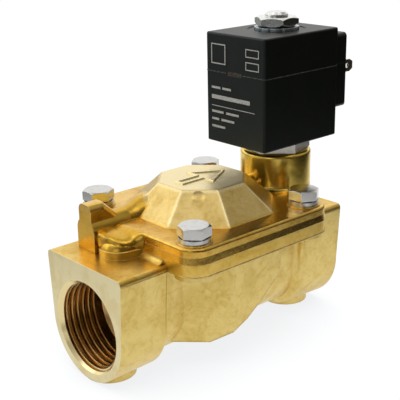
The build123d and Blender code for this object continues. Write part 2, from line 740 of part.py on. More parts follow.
# ---------------------------------------------------------------- guide tube and its base
BASE_AF = 22.6             # hexagon across flats
BASE_Z = BOSS_TOP_Z + 0.1
# radius, z of the cut that turns the base's upper corners off
BASE_CORNER = [(11.6, 49.3), (13.4, 48.1), (13.6, 49.3)]

with BuildPart() as tube_base:
    with BuildSketch(coil_level(BASE_Z)):
        RegularPolygon(BASE_AF / 2, 6, major_radius=False, rotation=17.7)
    extrude(amount=COIL_Z0 - BASE_Z - 0.06)
    with BuildSketch(side(COIL_X)):
        with BuildLine():
            Polyline(*BASE_CORNER, close=True)
        make_face()
    revolve(axis=COIL_AXIS, mode=Mode.SUBTRACT)
    with BuildSketch(coil_level(TUBE_Z0)):
        Circle(10.4)
    extrude(amount=7.0)
    with BuildSketch(coil_level(30)):
        Circle(TUBE_R)
    extrude(amount=30, mode=Mode.SUBTRACT)

tube_base_o_ring = square_ring(COIL_X, 0, 37.64, radius=9.3, width=1.5, height=1.44)
guide_tube = coil_tube(TUBE_Z0, TUBE_R, TUBE_BORE_R, TUBE_Z1 - TUBE_Z0)

# ---------------------------------------------------------------- armature
SHADING_OUTER_R, SHADING_INNER_R = 5.3, 4.3
SHOULDER_TOP_Z = 88.6
SEAL_R = 3.2
# z, radius, height of the core's plug, shoulder and stud
CORE_STEPS = [(62.05, 6.38, 15.0), (TUBE_Z1, TUBE_R, SHOULDER_TOP_Z - TUBE_Z1),
              (SHOULDER_TOP_Z, STUD_R, STUD_TOP_Z - SHOULDER_TOP_Z)]
# z, radius, height of the plunger's spring bore and seal pocket
PLUNGER_BORES = [(47.0, 3.1, 20), (30.0, SEAL_R, 9.4)]

with BuildPart() as fixed_core:
    for z, radius, height in CORE_STEPS:
        with BuildSketch(coil_level(z)):
            Circle(radius)
        extrude(amount=height)
    chamfer(fixed_core.edges().filter_by(GeomType.CIRCLE).group_by(Axis.Z)[-1], length=0.9)
    # groove for the shading ring
    with BuildSketch(coil_level(62.0)):
        Circle(SHADING_OUTER_R)
        Circle(SHADING_INNER_R, mode=Mode.SUBTRACT)
    extrude(amount=1.2, mode=Mode.SUBTRACT)

shading_ring = coil_tube(62.07, SHADING_OUTER_R, SHADING_INNER_R, 1.13)

with BuildPart() as plunger:
    with BuildSketch(coil_level(37.0)):
        Circle(PLUNGER_R)
    extrude(amount=23.2)
    chamfer(plunger.edges().filter_by(GeomType.CIRCLE), length=0.5)
    for z, radius, height in PLUNGER_BORES:
        with BuildSketch(coil_level(z)):
            Circle(radius)
        extrude(amount=height, mode=Mode.SUBTRACT)
    # two grooves along the sides let the fluid past
    with BuildSketch(coil_level(30.0)):
        with Locations((PLUNGER_R, 0), (-PLUNGER_R, 0)):
            Rectangle(2.0, 1.6)
    extrude(amount=40, mode=Mode.SUBTRACT)

with BuildPart() as pilot_seal:
    with BuildSketch(coil_level(36.4)):
        Circle(SEAL_R)
    extrude(amount=3.0)

plunger_spring = coil_spring(x=COIL_X, z=47.35, radius=2.4, pitch=1.8, height=14.3,
                             wire_r=0.3)

# ---------------------------------------------------------------- coil, encapsulated parts
YOKE_HALF_X = 15.6
YOKE_WIDTH = 22
YOKE_SHEET = 2.6
YOKE_Z0 = 50.5             # underside of the lower plate
BOBBIN_Z0 = YOKE_Z0 + YOKE_SHEET
BOBBIN_Z1 = 85.6           # also the underside of the yoke's upper plate
CHEEK = 1.2                # thickness of the bobbin's cheeks
CHEEK_R = 12.4
SPOOL_R = 8.2
WINDING_R = 12.0
WINDING_Z0 = BOBBIN_Z0 + CHEEK
WINDING_Z1 = BOBBIN_Z1 - CHEEK

with BuildPart() as coil_yoke:
    for z in (YOKE_Z0, BOBBIN_Z1):
        with BuildSketch(coil_level(z)):
            Rectangle(2 * YOKE_HALF_X, YOKE_WIDTH)
        extrude(amount=YOKE_SHEET)
    wall_x = YOKE_HALF_X - YOKE_SHEET / 2
    with BuildSketch(coil_level(YOKE_Z0)):
        with Locations((wall_x, 0), (-wall_x, 0)):
            Rectangle(YOKE_SHEET, YOKE_WIDTH)
    extrude(amount=BOBBIN_Z1 + YOKE_SHEET - YOKE_Z0)
    with BuildSketch(coil_level(45)):
        Circle(COIL_BORE_R)
    extrude(amount=50, mode=Mode.SUBTRACT)

coil_bobbin = turned([(COIL_BORE_R, BOBBIN_Z0), (CHEEK_R, BOBBIN_Z0), (CHEEK_R, WINDING_Z0),
                      (SPOOL_R, WINDING_Z0), (SPOOL_R, WINDING_Z1), (CHEEK_R, WINDING_Z1),
                      (CHEEK_R, BOBBIN_Z1), (COIL_BORE_R, BOBBIN_Z1)], COIL_X)
coil_winding = coil_tube(WINDING_Z0, WINDING_R, SPOOL_R, WINDING_Z1 - WINDING_Z0)

# ---------------------------------------------------------------- plug contacts
BLADE_Z = 73.2             # centre of the terminal blades and of the insert
BLADE_Y = 9.0
EARTH_Z = 62.6
BLADE_ROOT_X = 55.2
BLADE_TIP_X = 71.6
BLADE_HALF = 2.4           # half width
BLADE_TIP = 1.8            # length of the tip taper
TIP_HALF = BLADE_HALF - BLADE_TIP * 0.55
# flat outline with the two tip corners taken off
BLADE = [(BLADE_ROOT_X, -BLADE_HALF), (BLADE_TIP_X - BLADE_TIP, -BLADE_HALF),
         (BLADE_TIP_X, -TIP_HALF), (BLADE_TIP_X, TIP_HALF),
         (BLADE_TIP_X - BLADE_TIP, BLADE_HALF), (BLADE_ROOT_X, BLADE_HALF)]
INSERT_APOTHEM = 3.0
INSERT_PLANE = cross(56.3, BLADE_Z)


def blades(planes):
    """One blade centred on each plane, with a hole near its tip."""
    with BuildPart() as solid:
        for plane in planes:
            with BuildSketch(plane):
                with BuildLine():
                    Polyline(*BLADE, close=True)
                make_face()
                with Locations((BLADE_TIP_X - 3.4, 0)):
                    Circle(0.9, mode=Mode.SUBTRACT)
            extrude(amount=0.4, both=True)
    return solid


terminal_blades = blades([Plane(origin=(BOWL_X, y, BLADE_Z), x_dir=(1, 0, 0),
                                z_dir=(0, -1, 0)) for y in (-BLADE_Y, BLADE_Y)])
earth_blade = blades([level(EARTH_Z)])

with BuildPart() as plug_insert:
    with BuildSketch(INSERT_PLANE):
        RegularPolygon(INSERT_APOTHEM, 6, major_radius=False)
        Circle(1.25, mode=Mode.SUBTRACT)
    extrude(amount=6.4)

# ---------------------------------------------------------------- coil housing
PLUG_X1 = 62.5             # outer face of the plug block
PLUG_HALF_Y = 13.5
PLUG_Z0, PLUG_Z1 = 58.9, 87.1
LINE_PROUD = 0.12          # parting line stands proud by this
# z, radius, height of the cuts on the coil axis
HOUSING_BORES = [(89.6, 10.8, 2),                # recess for the washer
                 (45, COIL_BORE_R, 50),          # bore for the guide tube
                 (BOBBIN_Z0, CHEEK_R, CHEEK),    # bobbin cheeks
                 (WINDING_Z1, CHEEK_R, CHEEK),
                 (WINDING_Z0 - 0.1, WINDING_R, WINDING_Z1 - WINDING_Z0 + 0.2)]

with BuildPart() as coil_housing:
    with BuildSketch(level(COIL_Z0, COIL_MID_X)):
        Rectangle(COIL_X1 - COIL_X0, 2 * COIL_HALF_Y)
    extrude(amount=COIL_Z1 - COIL_Z0)
    fillet(coil_housing.edges().filter_by(Axis.Z), radius=1.0)
    fillet(coil_housing.edges().filter_by(at_height(COIL_Z1)), radius=0.7)
    fillet(coil_housing.edges().filter_by(at_height(COIL_Z0)), radius=0.5)
    # mould parting line
    with BuildSketch(level(75.6, COIL_MID_X)):
        RectangleRounded(COIL_X1 - COIL_X0 + 2 * LINE_PROUD,
                         2 * COIL_HALF_Y + 2 * LINE_PROUD, 1.1)
    extrude(amount=0.22)
    # plug block
    with BuildSketch(cross(COIL_X1 - 1.0)):
        with Locations((0, (PLUG_Z0 + PLUG_Z1) / 2)):
            RectangleRounded(2 * PLUG_HALF_Y, PLUG_Z1 - PLUG_Z0, 1.5)
    extrude(amount=PLUG_X1 - COIL_X1 + 1.0)
    # shallow gate recess on the inlet side
    with BuildSketch(cross(COIL_X0 - 0.2)):
        with Locations((0.4, 75.7)):
            RectangleRounded(7.6, 1.3, 0.5)
    extrude(amount=0.45, mode=Mode.SUBTRACT)
    for z, radius, height in HOUSING_BORES:
        with BuildSketch(coil_level(z)):
            Circle(radius)
        extrude(amount=height, mode=Mode.SUBTRACT)
    for embedded in (coil_yoke, terminal_blades, earth_blade):
        add(embedded.part, mode=Mode.SUBTRACT)
    with BuildSketch(INSERT_PLANE):
        RegularPolygon(INSERT_APOTHEM, 6, major_radius=False)
    extrude(amount=7, mode=Mode.SUBTRACT)

# ---------------------------------------------------------------- coil fasteners
NUT_Z0, NUT_Z1 = 90.82, 94.42
# radius, z of the cuts that turn the nut's corners off, top then bottom
NUT_CORNERS = [[(6.9, NUT_Z1), (8.7, 93.46), (8.7, NUT_Z1)],
               [(6.6, NUT_Z0), (8.7, 92.42), (8.7, NUT_Z0)]]

with BuildPart() as coil_washer:
    with BuildSketch(coil_level(89.62)):
        Circle(8.3)
        Circle(4.4, mode=Mode.SUBTRACT)
        # scalloped rim
        with PolarLocations(8.85, 12, start_angle=27.5):
            Circle(1.0, mode=Mode.SUBTRACT)
    extrude(amount=1.17)

with BuildPart() as coil_nut:
    with BuildSketch(coil_level(NUT_Z0)):
        RegularPolygon(7.2, 6, major_radius=False, rotation=0.5)
    extrude(amount=NUT_Z1 - NUT_Z0)
    for corner_cut in NUT_CORNERS:
        with BuildSketch(side(COIL_X)):
            with BuildLine():
                Polyline(*corner_cut, close=True)
            make_face()
        revolve(axis=COIL_AXIS, mode=Mode.SUBTRACT)
    with BuildSketch(coil_level(85)):
        Circle(STUD_R + 0.01)
    extrude(amount=12, mode=Mode.SUBTRACT)

# ---------------------------------------------------------------- output
PIECES = {
    "valve_body": valve_body,
    "bonnet": bonnet,
    "bonnet_bolts": bonnet_bolts,
    "bolt_spring_washers": bolt_spring_washers,
    "main_diaphragm": main_diaphragm,
    "diaphragm_support_plate": diaphragm_support_plate,
    "diaphragm_guide_disc": diaphragm_guide_disc,
    "diaphragm_screw": diaphragm_screw,
    "diaphragm_nut": diaphragm_nut,
    "closing_spring": closing_spring,
    "pilot_strainer": pilot_strainer,
    "inlet_pilot_o_ring": inlet_pilot_o_ring,
    "outlet_pilot_o_ring": outlet_pilot_o_ring,
    "pilot_nozzle": pilot_nozzle,
    "tube_base": tube_base,
    "tube_base_o_ring": tube_base_o_ring,
    "guide_tube": guide_tube,
    "fixed_core": fixed_core,
    "shading_ring": shading_ring,
    "plunger": plunger,
    "pilot_seal": pilot_seal,
    "plunger_spring": plunger_spring,
    "coil_housing": coil_housing,
    "coil_yoke": coil_yoke,
    "coil_bobbin": coil_bobbin,
    "coil_winding": coil_winding,
    "terminal_blades": terminal_blades,
    "earth_blade": earth_blade,
    "plug_insert": plug_insert,
    "coil_washer": coil_washer,
    "coil_nut": coil_nut,
}
for piece_name, piece in PIECES.items():
    piece.part.label = piece_name
    export_step(piece.part, f"parts/{piece_name}.step")
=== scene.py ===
"""Brass pilot-operated solenoid valve.

The body lies along X with a threaded port at each end and stands on the floor, Z up. The
diaphragm is under the domed bonnet near mid length; the coil stands over the pilot at the +X end.
Here they get their materials, a few finer pieces, the floor, the lights and the camera.
"""
import math
import random

import bmesh
import bpy
from mathutils import Matrix, Vector, noise


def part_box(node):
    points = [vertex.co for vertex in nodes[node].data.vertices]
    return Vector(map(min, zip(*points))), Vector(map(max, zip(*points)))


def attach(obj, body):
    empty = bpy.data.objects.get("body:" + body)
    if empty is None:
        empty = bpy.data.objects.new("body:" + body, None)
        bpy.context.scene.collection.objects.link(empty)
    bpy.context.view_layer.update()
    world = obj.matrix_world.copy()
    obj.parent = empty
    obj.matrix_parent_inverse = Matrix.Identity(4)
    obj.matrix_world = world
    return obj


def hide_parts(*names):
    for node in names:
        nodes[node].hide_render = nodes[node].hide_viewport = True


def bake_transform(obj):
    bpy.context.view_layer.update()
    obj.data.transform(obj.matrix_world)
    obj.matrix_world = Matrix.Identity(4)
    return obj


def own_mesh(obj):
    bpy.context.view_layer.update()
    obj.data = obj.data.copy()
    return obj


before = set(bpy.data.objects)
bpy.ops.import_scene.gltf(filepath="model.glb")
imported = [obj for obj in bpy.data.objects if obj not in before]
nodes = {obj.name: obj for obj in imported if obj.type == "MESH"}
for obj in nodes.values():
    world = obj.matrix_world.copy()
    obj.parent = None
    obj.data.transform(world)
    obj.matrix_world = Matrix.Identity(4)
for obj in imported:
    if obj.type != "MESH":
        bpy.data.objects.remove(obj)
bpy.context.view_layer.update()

scene = bpy.context.scene

# ------------------------------------------------------------------ places
MM = 0.001  # one millimetre in metres

# from the frame, in metres
body_lo, body_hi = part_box("valve_body")
coil_lo, coil_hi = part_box("coil_housing")
tube_lo, tube_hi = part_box("guide_tube")
FLOOR_Z = body_lo.z
BODY_MID_X = (body_lo.x + body_hi.x) / 2
TUBE_X = (tube_lo.x + tube_hi.x) / 2

# in millimetres
COIL_FACE_X = coil_lo.x * 1000.0  # the coil's -X face
BODY_LENGTH = 107.0               # the body runs from x = 0 to here
DIAPHRAGM_X = 53.5                # upright axis of the diaphragm and the dome
PILOT_X = 91.86                   # upright axis of the plunger and its boss
AXIS_Y = 0.0                      # every upright axis stands on this line


def metres(length):
    """Millimetres as metres, free of rounding noise."""
    return round(length * MM, 8)


def scaled(color, factor):
    return tuple(c * factor for c in color)


# ------------------------------------------------------------------ small node language
class Shader:
    """Builds one procedural material or world. Positions are in millimetres in the shared frame.

    Methods that return a mask give 1 inside the place or feature and 0 outside it.
    """

    def __init__(self, name, world=False):
        self.owner = (bpy.data.worlds if world else bpy.data.materials).new(name)
        self.output_kind = "ShaderNodeOutputWorld" if world else "ShaderNodeOutputMaterial"
        self.owner.use_nodes = True
        self.tree = self.owner.node_tree
        self.tree.nodes.clear()
        self._mm = None

    # --- nodes and sockets
    def new(self, kind, **props):
        node = self.tree.nodes.new(kind)
        for key, value in props.items():
            setattr(node, key, value)
        return node

    def put(self, socket, value):
        """Link a socket to a value, or set it."""
        if isinstance(value, bpy.types.NodeSocket):
            self.tree.links.new(value, socket)
        elif socket.type == "RGBA" and len(value) == 3:
            socket.default_value = (*value, 1.0)
        else:
            socket.default_value = value

    def fill(self, node, inputs):
        """Set inputs by name or index; returns the node's first output."""
        for key, value in inputs.items():
            self.put(node.inputs[key], value)
        return node.outputs[0]

    # --- arithmetic
    def math(self, operation, *values, clamp=False):
        node = self.new("ShaderNodeMath", operation=operation, use_clamp=clamp)
        return self.fill(node, dict(enumerate(values)))

    def add(self, total, *others):
        for other in others:
            total = self.math("ADD", total, other)
        return total

    def capped_sum(self, total, *others):
        """Sum held between 0 and 1 at each step."""
        for other in others:
            total = self.math("ADD", total, other, clamp=True)
        return total

    def mul(self, product, *others):
        for other in others:
            product = self.math("MULTIPLY", product, other)
        return product

    def sub(self, a, b):
        return self.math("SUBTRACT", a, b)

    def invert(self, mask):
        return self.sub(1.0, mask)

    def over(self, value, limit):
        return self.math("GREATER_THAN", value, limit)

    def under(self, value, limit):
        return self.math("LESS_THAN", value, limit)

    def largest(self, a, b):
        return self.math("MAXIMUM", a, b)

    def radius(self, a, b):
        return self.math("SQRT", self.add(self.mul(a, a), self.mul(b, b)))

    def layers(self, *layers):
        """Weighted sum of (value, weight) pairs."""
        return self.add(*[self.mul(value, weight) for value, weight in layers])

    def lift(self, base, mask, by):
        """The base value, raised by up to `by` where the mask is 1."""
        return self.add(base, self.mul(mask, by))

    def vary(self, base, texture, swing):
        """The base value, swung up and down by a texture that centres on a half."""
        return self.add(base, self.mul(self.sub(texture, 0.5), swing))

    def wave(self, phase):
        """Sine of the phase, brought to 0..1."""
        return self.mul(self.add(self.math("SINE", phase), 1.0), 0.5)

    def ramp(self, value, lo, hi, at_lo=0.0, at_hi=1.0):
        """Smooth step: value from lo..hi to at_lo..at_hi. With lo above hi it runs downward."""
        node = self.new("ShaderNodeMapRange", interpolation_type="SMOOTHSTEP")
        return self.fill(node, {"Value": value, "From Min": lo, "From Max": hi,
                                "To Min": at_lo, "To Max": at_hi})

    def near(self, value, centre, gone, full):
        """Mask that is full within `full` of the centre and gone beyond `gone`."""
        distance = self.math("ABSOLUTE", self.sub(value, centre))
        return self.ramp(distance, lo=gone, hi=full)

    def mix(self, mask, a, b, amount=None):
        """Colour a, turning to b under the mask, at most by the amount."""
        if amount is not None:
            mask = self.mul(mask, amount)
        node = self.new("ShaderNodeMix", data_type="RGBA")
        self.fill(node, {0: mask, 6: a, 7: b})
        return node.outputs[2]

    def mixf(self, mask, a, b):
        return self.fill(self.new("ShaderNodeMix", data_type="FLOAT"), {0: mask, 2: a, 3: b})

    # --- vectors
    def vmath(self, operation, *values):
        node = self.new("ShaderNodeVectorMath", operation=operation)
        self.fill(node, dict(enumerate(values)))
        return node.outputs[1 if operation == "DOT_PRODUCT" else 0]

    def to_mm(self, vector):
        node = self.new("ShaderNodeVectorMath", operation="SCALE")
        return self.fill(node, {0: vector, 3: 1000.0})

    def mm(self):
        if self._mm is None:
            self._mm = self.to_mm(self.new("ShaderNodeTexCoord").outputs["Object"])
        return self._mm

    def xyz(self, vector=None):
        node = self.new("ShaderNodeSeparateXYZ")
        self.put(node.inputs[0], self.mm() if vector is None else vector)
        return tuple(node.outputs)

    def combine(self, x, y, z):
        return self.fill(self.new("ShaderNodeCombineXYZ"), {0: x, 1: y, 2: z})

    # --- textures
    def noise(self, scale, detail=2.0, rough=0.5, vector=None, distort=0.0, offset=None):
        if vector is None:
            vector = self.mm()
        if offset is not None:
            vector = self.vmath("ADD", vector, offset)
        node = self.new("ShaderNodeTexNoise")
        self.fill(node, {"Vector": vector, "Scale": scale, "Detail": detail,
                         "Roughness": rough, "Distortion": distort})
        return node.outputs["Fac"]

    def voronoi(self, scale):
        """Distance to the nearest cell centre."""
        node = self.new("ShaderNodeTexVoronoi", feature="F1")
        self.fill(node, {"Vector": self.mm(), "Scale": scale})
        return node.outputs["Distance"]

    def ao(self, distance, samples=4):
        """Openness: 1 in the open, lower in crevices up to the distance in metres."""
        node = self.new("ShaderNodeAmbientOcclusion", samples=samples)
        self.put(node.inputs["Distance"], distance)
        return node.outputs["AO"]

    def bevel(self, radius, samples=4):
        """Normal rounded at edges over a radius in metres."""
        return self.fill(self.new("ShaderNodeBevel", samples=samples), {"Radius": radius})

    def edges(self, radius):
        """Rounded normal, and a mask of the edges where it leaves the true normal."""
        rounded = self.bevel(radius)
        true_normal = self.new("ShaderNodeNewGeometry").outputs["Normal"]
        agreement = self.vmath("DOT_PRODUCT", rounded, true_normal)
        return rounded, self.ramp(agreement, lo=0.985, hi=0.90)

    def bump(self, height, distance, normal=None, strength=1.0):
        """Bumped normal; the distance is the relief in metres."""
        inputs = {"Height": height, "Distance": distance, "Strength": strength}
        if normal is not None:
            inputs["Normal"] = normal
        return self.fill(self.new("ShaderNodeBump"), inputs)

    # --- surfaces
    def output(self, surface):
        self.put(self.new(self.output_kind).inputs[0], surface)

    def principled(self, **inputs):
        node = self.new("ShaderNodeBsdfPrincipled")
        self.output(self.fill(node, {k.replace("_", " "): v for k, v in inputs.items()}))

    def glow(self, kind, color, strength):
        return self.fill(self.new(kind), {"Color": color, "Strength": strength})

    def output_by_ray(self, camera_sees, others_see):
        """One surface for camera rays, another for reflections and light."""
        is_camera = self.new("ShaderNodeLightPath").outputs["Is Camera Ray"]
        node = self.new("ShaderNodeMixShader")
        self.output(self.fill(node, {0: is_camera, 1: others_see, 2: camera_sees}))


def paint(obj, shader):
    obj.data.materials.clear()
    obj.data.materials.append(shader.owner)
    for polygon in obj.data.polygons:
        polygon.material_index = 0


def smooth(mesh, crisp_degrees):
    """Smooth shading, kept crisp at edges steeper than the angle."""
    for polygon in mesh.polygons:
        polygon.use_smooth = True
    mesh.set_sharp_from_angle(angle=math.radians(crisp_degrees))


# ------------------------------------------------------------------ cast brass
class CastBrass(Shader):
    """Tarnish, drying rings, painted glints and pits shared by the body and the bonnet."""

    def __init__(self, name):
        super().__init__(name)
        self.normal, self.edge = self.edges(radius=0.00035)
        cloud = self.noise(scale=0.075, detail=4.0, rough=0.6, distort=0.8)
        blotch = self.noise(scale=0.33, detail=4.0, rough=0.62, offset=(31.0, 7.0, 3.0),
                            distort=1.2)
        self.fine = self.noise(scale=2.3, detail=3.0, rough=0.6, offset=(3.0, 17.0, 9.0))
        self.grit = self.noise(scale=6.5, offset=(9.0, 1.0, 5.0))
        pit_places = self.noise(scale=0.21, offset=(50.0, 3.0, 1.0))
        self.pits = self.mul(self.ramp(self.voronoi(scale=0.62), lo=0.09, hi=0.03),
                             self.ramp(pit_places, lo=0.50, hi=0.62))
        # how far the tarnish has gone, mostly from the slow clouds
        cloud_share, blotch_share = 0.55, 0.45
        self.tone = self.capped_sum(
            self.mul(self.ramp(cloud, lo=0.40, hi=0.68), cloud_share),
            self.mul(self.ramp(blotch, lo=0.44, hi=0.70), blotch_share))
        # painted glints: pale specks standing in for the sparkle of the cast grain, a little glossier
        # there
        self.glints = self.ramp(self.grit, lo=0.60, hi=0.72)

    def cast_color(self, base, stain, residue, glint_amount):
        """Base and stain may vary by zone; residue is the plain stain colour."""
        color = self.mix(self.tone, base, stain)
        # rings left by drying fluid
        cell = self.voronoi(scale=0.085)
        ring_places = self.noise(scale=0.06, offset=(70.0, 8.0, 2.0))
        ring = self.mul(self.ramp(cell, lo=0.33, hi=0.37), self.ramp(cell, lo=0.42, hi=0.38),
                        self.ramp(ring_places, lo=0.52, hi=0.60))
        color = self.mix(ring, color, scaled(residue, 0.72), amount=0.16)
        glint_color, pit_brown = (0.97, 0.86, 0.55), (0.20, 0.12, 0.03)
        color = self.mix(self.glints, color, glint_color, amount=glint_amount)
        return self.mix(self.pits, color, pit_brown, amount=0.75)

    def cast_roughness(self, base):
        rough = self.vary(base, self.fine, swing=0.22)
        rough = self.lift(rough, self.tone, by=0.08)
        return self.sub(rough, self.mul(self.glints, 0.07))

    def cast_height(self):
        skin = self.layers((self.fine, 0.55), (self.grit, 0.45))
        pit_depth = 0.9
        return self.sub(skin, self.mul(self.pits, pit_depth))

    def finish(self, color, roughness, height, grain, shade_reach, highlight_reach=None):
        """Painted brown shade in crevices and painted highlights along convex edges, each held back by
        its reach mask.
        """
        openness = self.ao(distance=0.0032)
        # painted shade: brown darkening where the AO finds crevices
        crevice_shade_amount, crevice_shade_brown = 0.55, (0.34, 0.20, 0.05)
        painted_crevice_shade = self.mul(self.ramp(openness, lo=0.80, hi=0.30), crevice_shade_amount, shade_reach)
        color = self.mix(painted_crevice_shade, color, crevice_shade_brown)
        # painted highlight along convex edges, glossier there too
        painted_edge_highlight = self.mul(self.edge, self.ramp(self.fine, lo=0.38, hi=0.62, at_lo=0.20, at_hi=0.70),
                       self.ramp(openness, lo=0.62, hi=0.90))
        if highlight_reach is not None:
            painted_edge_highlight = self.mul(painted_edge_highlight, highlight_reach)
        edge_highlight_tint, edge_highlight_roughness = (0.95, 0.84, 0.55), 0.22
        color = self.mix(painted_edge_highlight, color, edge_highlight_tint)
        roughness = self.mixf(painted_edge_highlight, roughness, edge_highlight_roughness)
        swell = self.noise(scale=0.16, offset=(2.0, 40.0, 11.0))
        normal = self.bump(height, distance=grain, normal=self.normal)
        normal = self.bump(swell, distance=0.00018, normal=normal, strength=0.6)
        self.principled(Base_Color=color, Metallic=1.0, Roughness=roughness, Normal=normal)


def make_body_brass():
    s = CastBrass("cast_brass_body")
    x, y, z = s.xyz()

    # the forging runs softly from the neck into the bowl; the threads stay sharp
    soft_normal = s.bevel(radius=0.0016, samples=6)
    where_soft = s.mul(s.ramp(x, lo=17.5, hi=20.5), s.ramp(x, lo=89.5, hi=86.5),
                       s.ramp(z, lo=19.9, hi=18.6), s.over(s.radius(y, z), limit=15.2))
    s.normal = s.vmath("NORMALIZE", s.mix(where_soft, s.normal, soft_normal))

    # the upper part of the body lies in the bonnet's own warm light
    base, stain = (0.83, 0.64, 0.23), (0.64, 0.45, 0.10)
    upper_base, upper_stain = (0.86, 0.60, 0.15), (0.66, 0.40, 0.04)
    upper = s.ramp(z, lo=20.5, hi=22.6)
    color = s.cast_color(base=s.mix(upper, base, upper_base),
                         stain=s.mix(upper, stain, upper_stain),
                         residue=stain, glint_amount=0.30)
    roughness = s.cast_roughness(base=0.33)

    # machined places, told apart by where they are (mm)
    face_depth, lip_depth, thread_start, thread_end = 0.06, 1.4, 1.38, 19.4
    port_radius = 16.9
    axis_radius = s.radius(y, z)
    face = s.capped_sum(s.under(x, face_depth), s.over(x, BODY_LENGTH - face_depth))
    both_threads = s.capped_sum(
        s.mul(s.under(x, thread_end), s.over(x, thread_start)),
        s.mul(s.over(x, BODY_LENGTH - thread_end), s.under(x, BODY_LENGTH - thread_start)))
    mouth = s.mul(s.under(axis_radius, port_radius), both_threads)
    both_lips = s.capped_sum(s.under(x, lip_depth), s.over(x, BODY_LENGTH - lip_depth))
    lip = s.mul(s.under(axis_radius, port_radius), both_lips)
    seam = s.over(z, limit=25.46)
    machined = s.capped_sum(face, lip, mouth, seam)
    rings_per_mm = 3.4
    lathe = s.noise(scale=1.0, vector=s.combine(s.mul(axis_radius, rings_per_mm), 0.0, 0.0))
    lathe_face = s.mul(lathe, face)

    faced_light, faced_dark = (0.85, 0.76, 0.47), (0.79, 0.67, 0.37)
    lip_color = (0.88, 0.74, 0.40)
    thread_crest, thread_root_shade, thread_deep_shade = (0.84, 0.63, 0.32), (0.60, 0.38, 0.15), (0.52, 0.29, 0.10)
    face_clouds = s.ramp(s.noise(scale=0.12, detail=3.0, rough=0.6), lo=0.42, hi=0.66)
    color = s.mix(face, color, s.mix(face_clouds, faced_light, faced_dark))
    color = s.mix(lip, color, lip_color)
    # painted shade: thread roots darker than the crests, darker still deeper into the port
    thread = s.mix(s.ramp(axis_radius, lo=15.2, hi=16.4), thread_crest, thread_root_shade)
    deep = s.near(x, BODY_LENGTH / 2, gone=53.0, full=36.0)
    thread = s.mix(deep, thread, thread_deep_shade, amount=0.45)
    color = s.mix(mouth, color, thread)

    face_roughness, mouth_roughness, lip_roughness = 0.36, 0.15, 0.24
    roughness = s.mixf(face, roughness, s.lift(face_roughness, lathe, by=0.10))
    roughness = s.mixf(mouth, roughness, s.lift(mouth_roughness, s.fine, by=0.10))
    roughness = s.mixf(lip, roughness, lip_roughness)
    smoothing, lathe_relief = 0.85, 0.28
    cast_left = s.invert(s.mul(machined, smoothing))
    height = s.add(s.mul(s.cast_height(), cast_left), s.mul(lathe_face, lathe_relief))
    # less painted crevice shade, and no painted edge highlight, in the threaded mouths
    mouth_shade_cut = 0.75
    s.finish(color, roughness, height, grain=0.000016,
             shade_reach=s.invert(s.mul(mouth, mouth_shade_cut)), highlight_reach=s.invert(mouth))
    return s


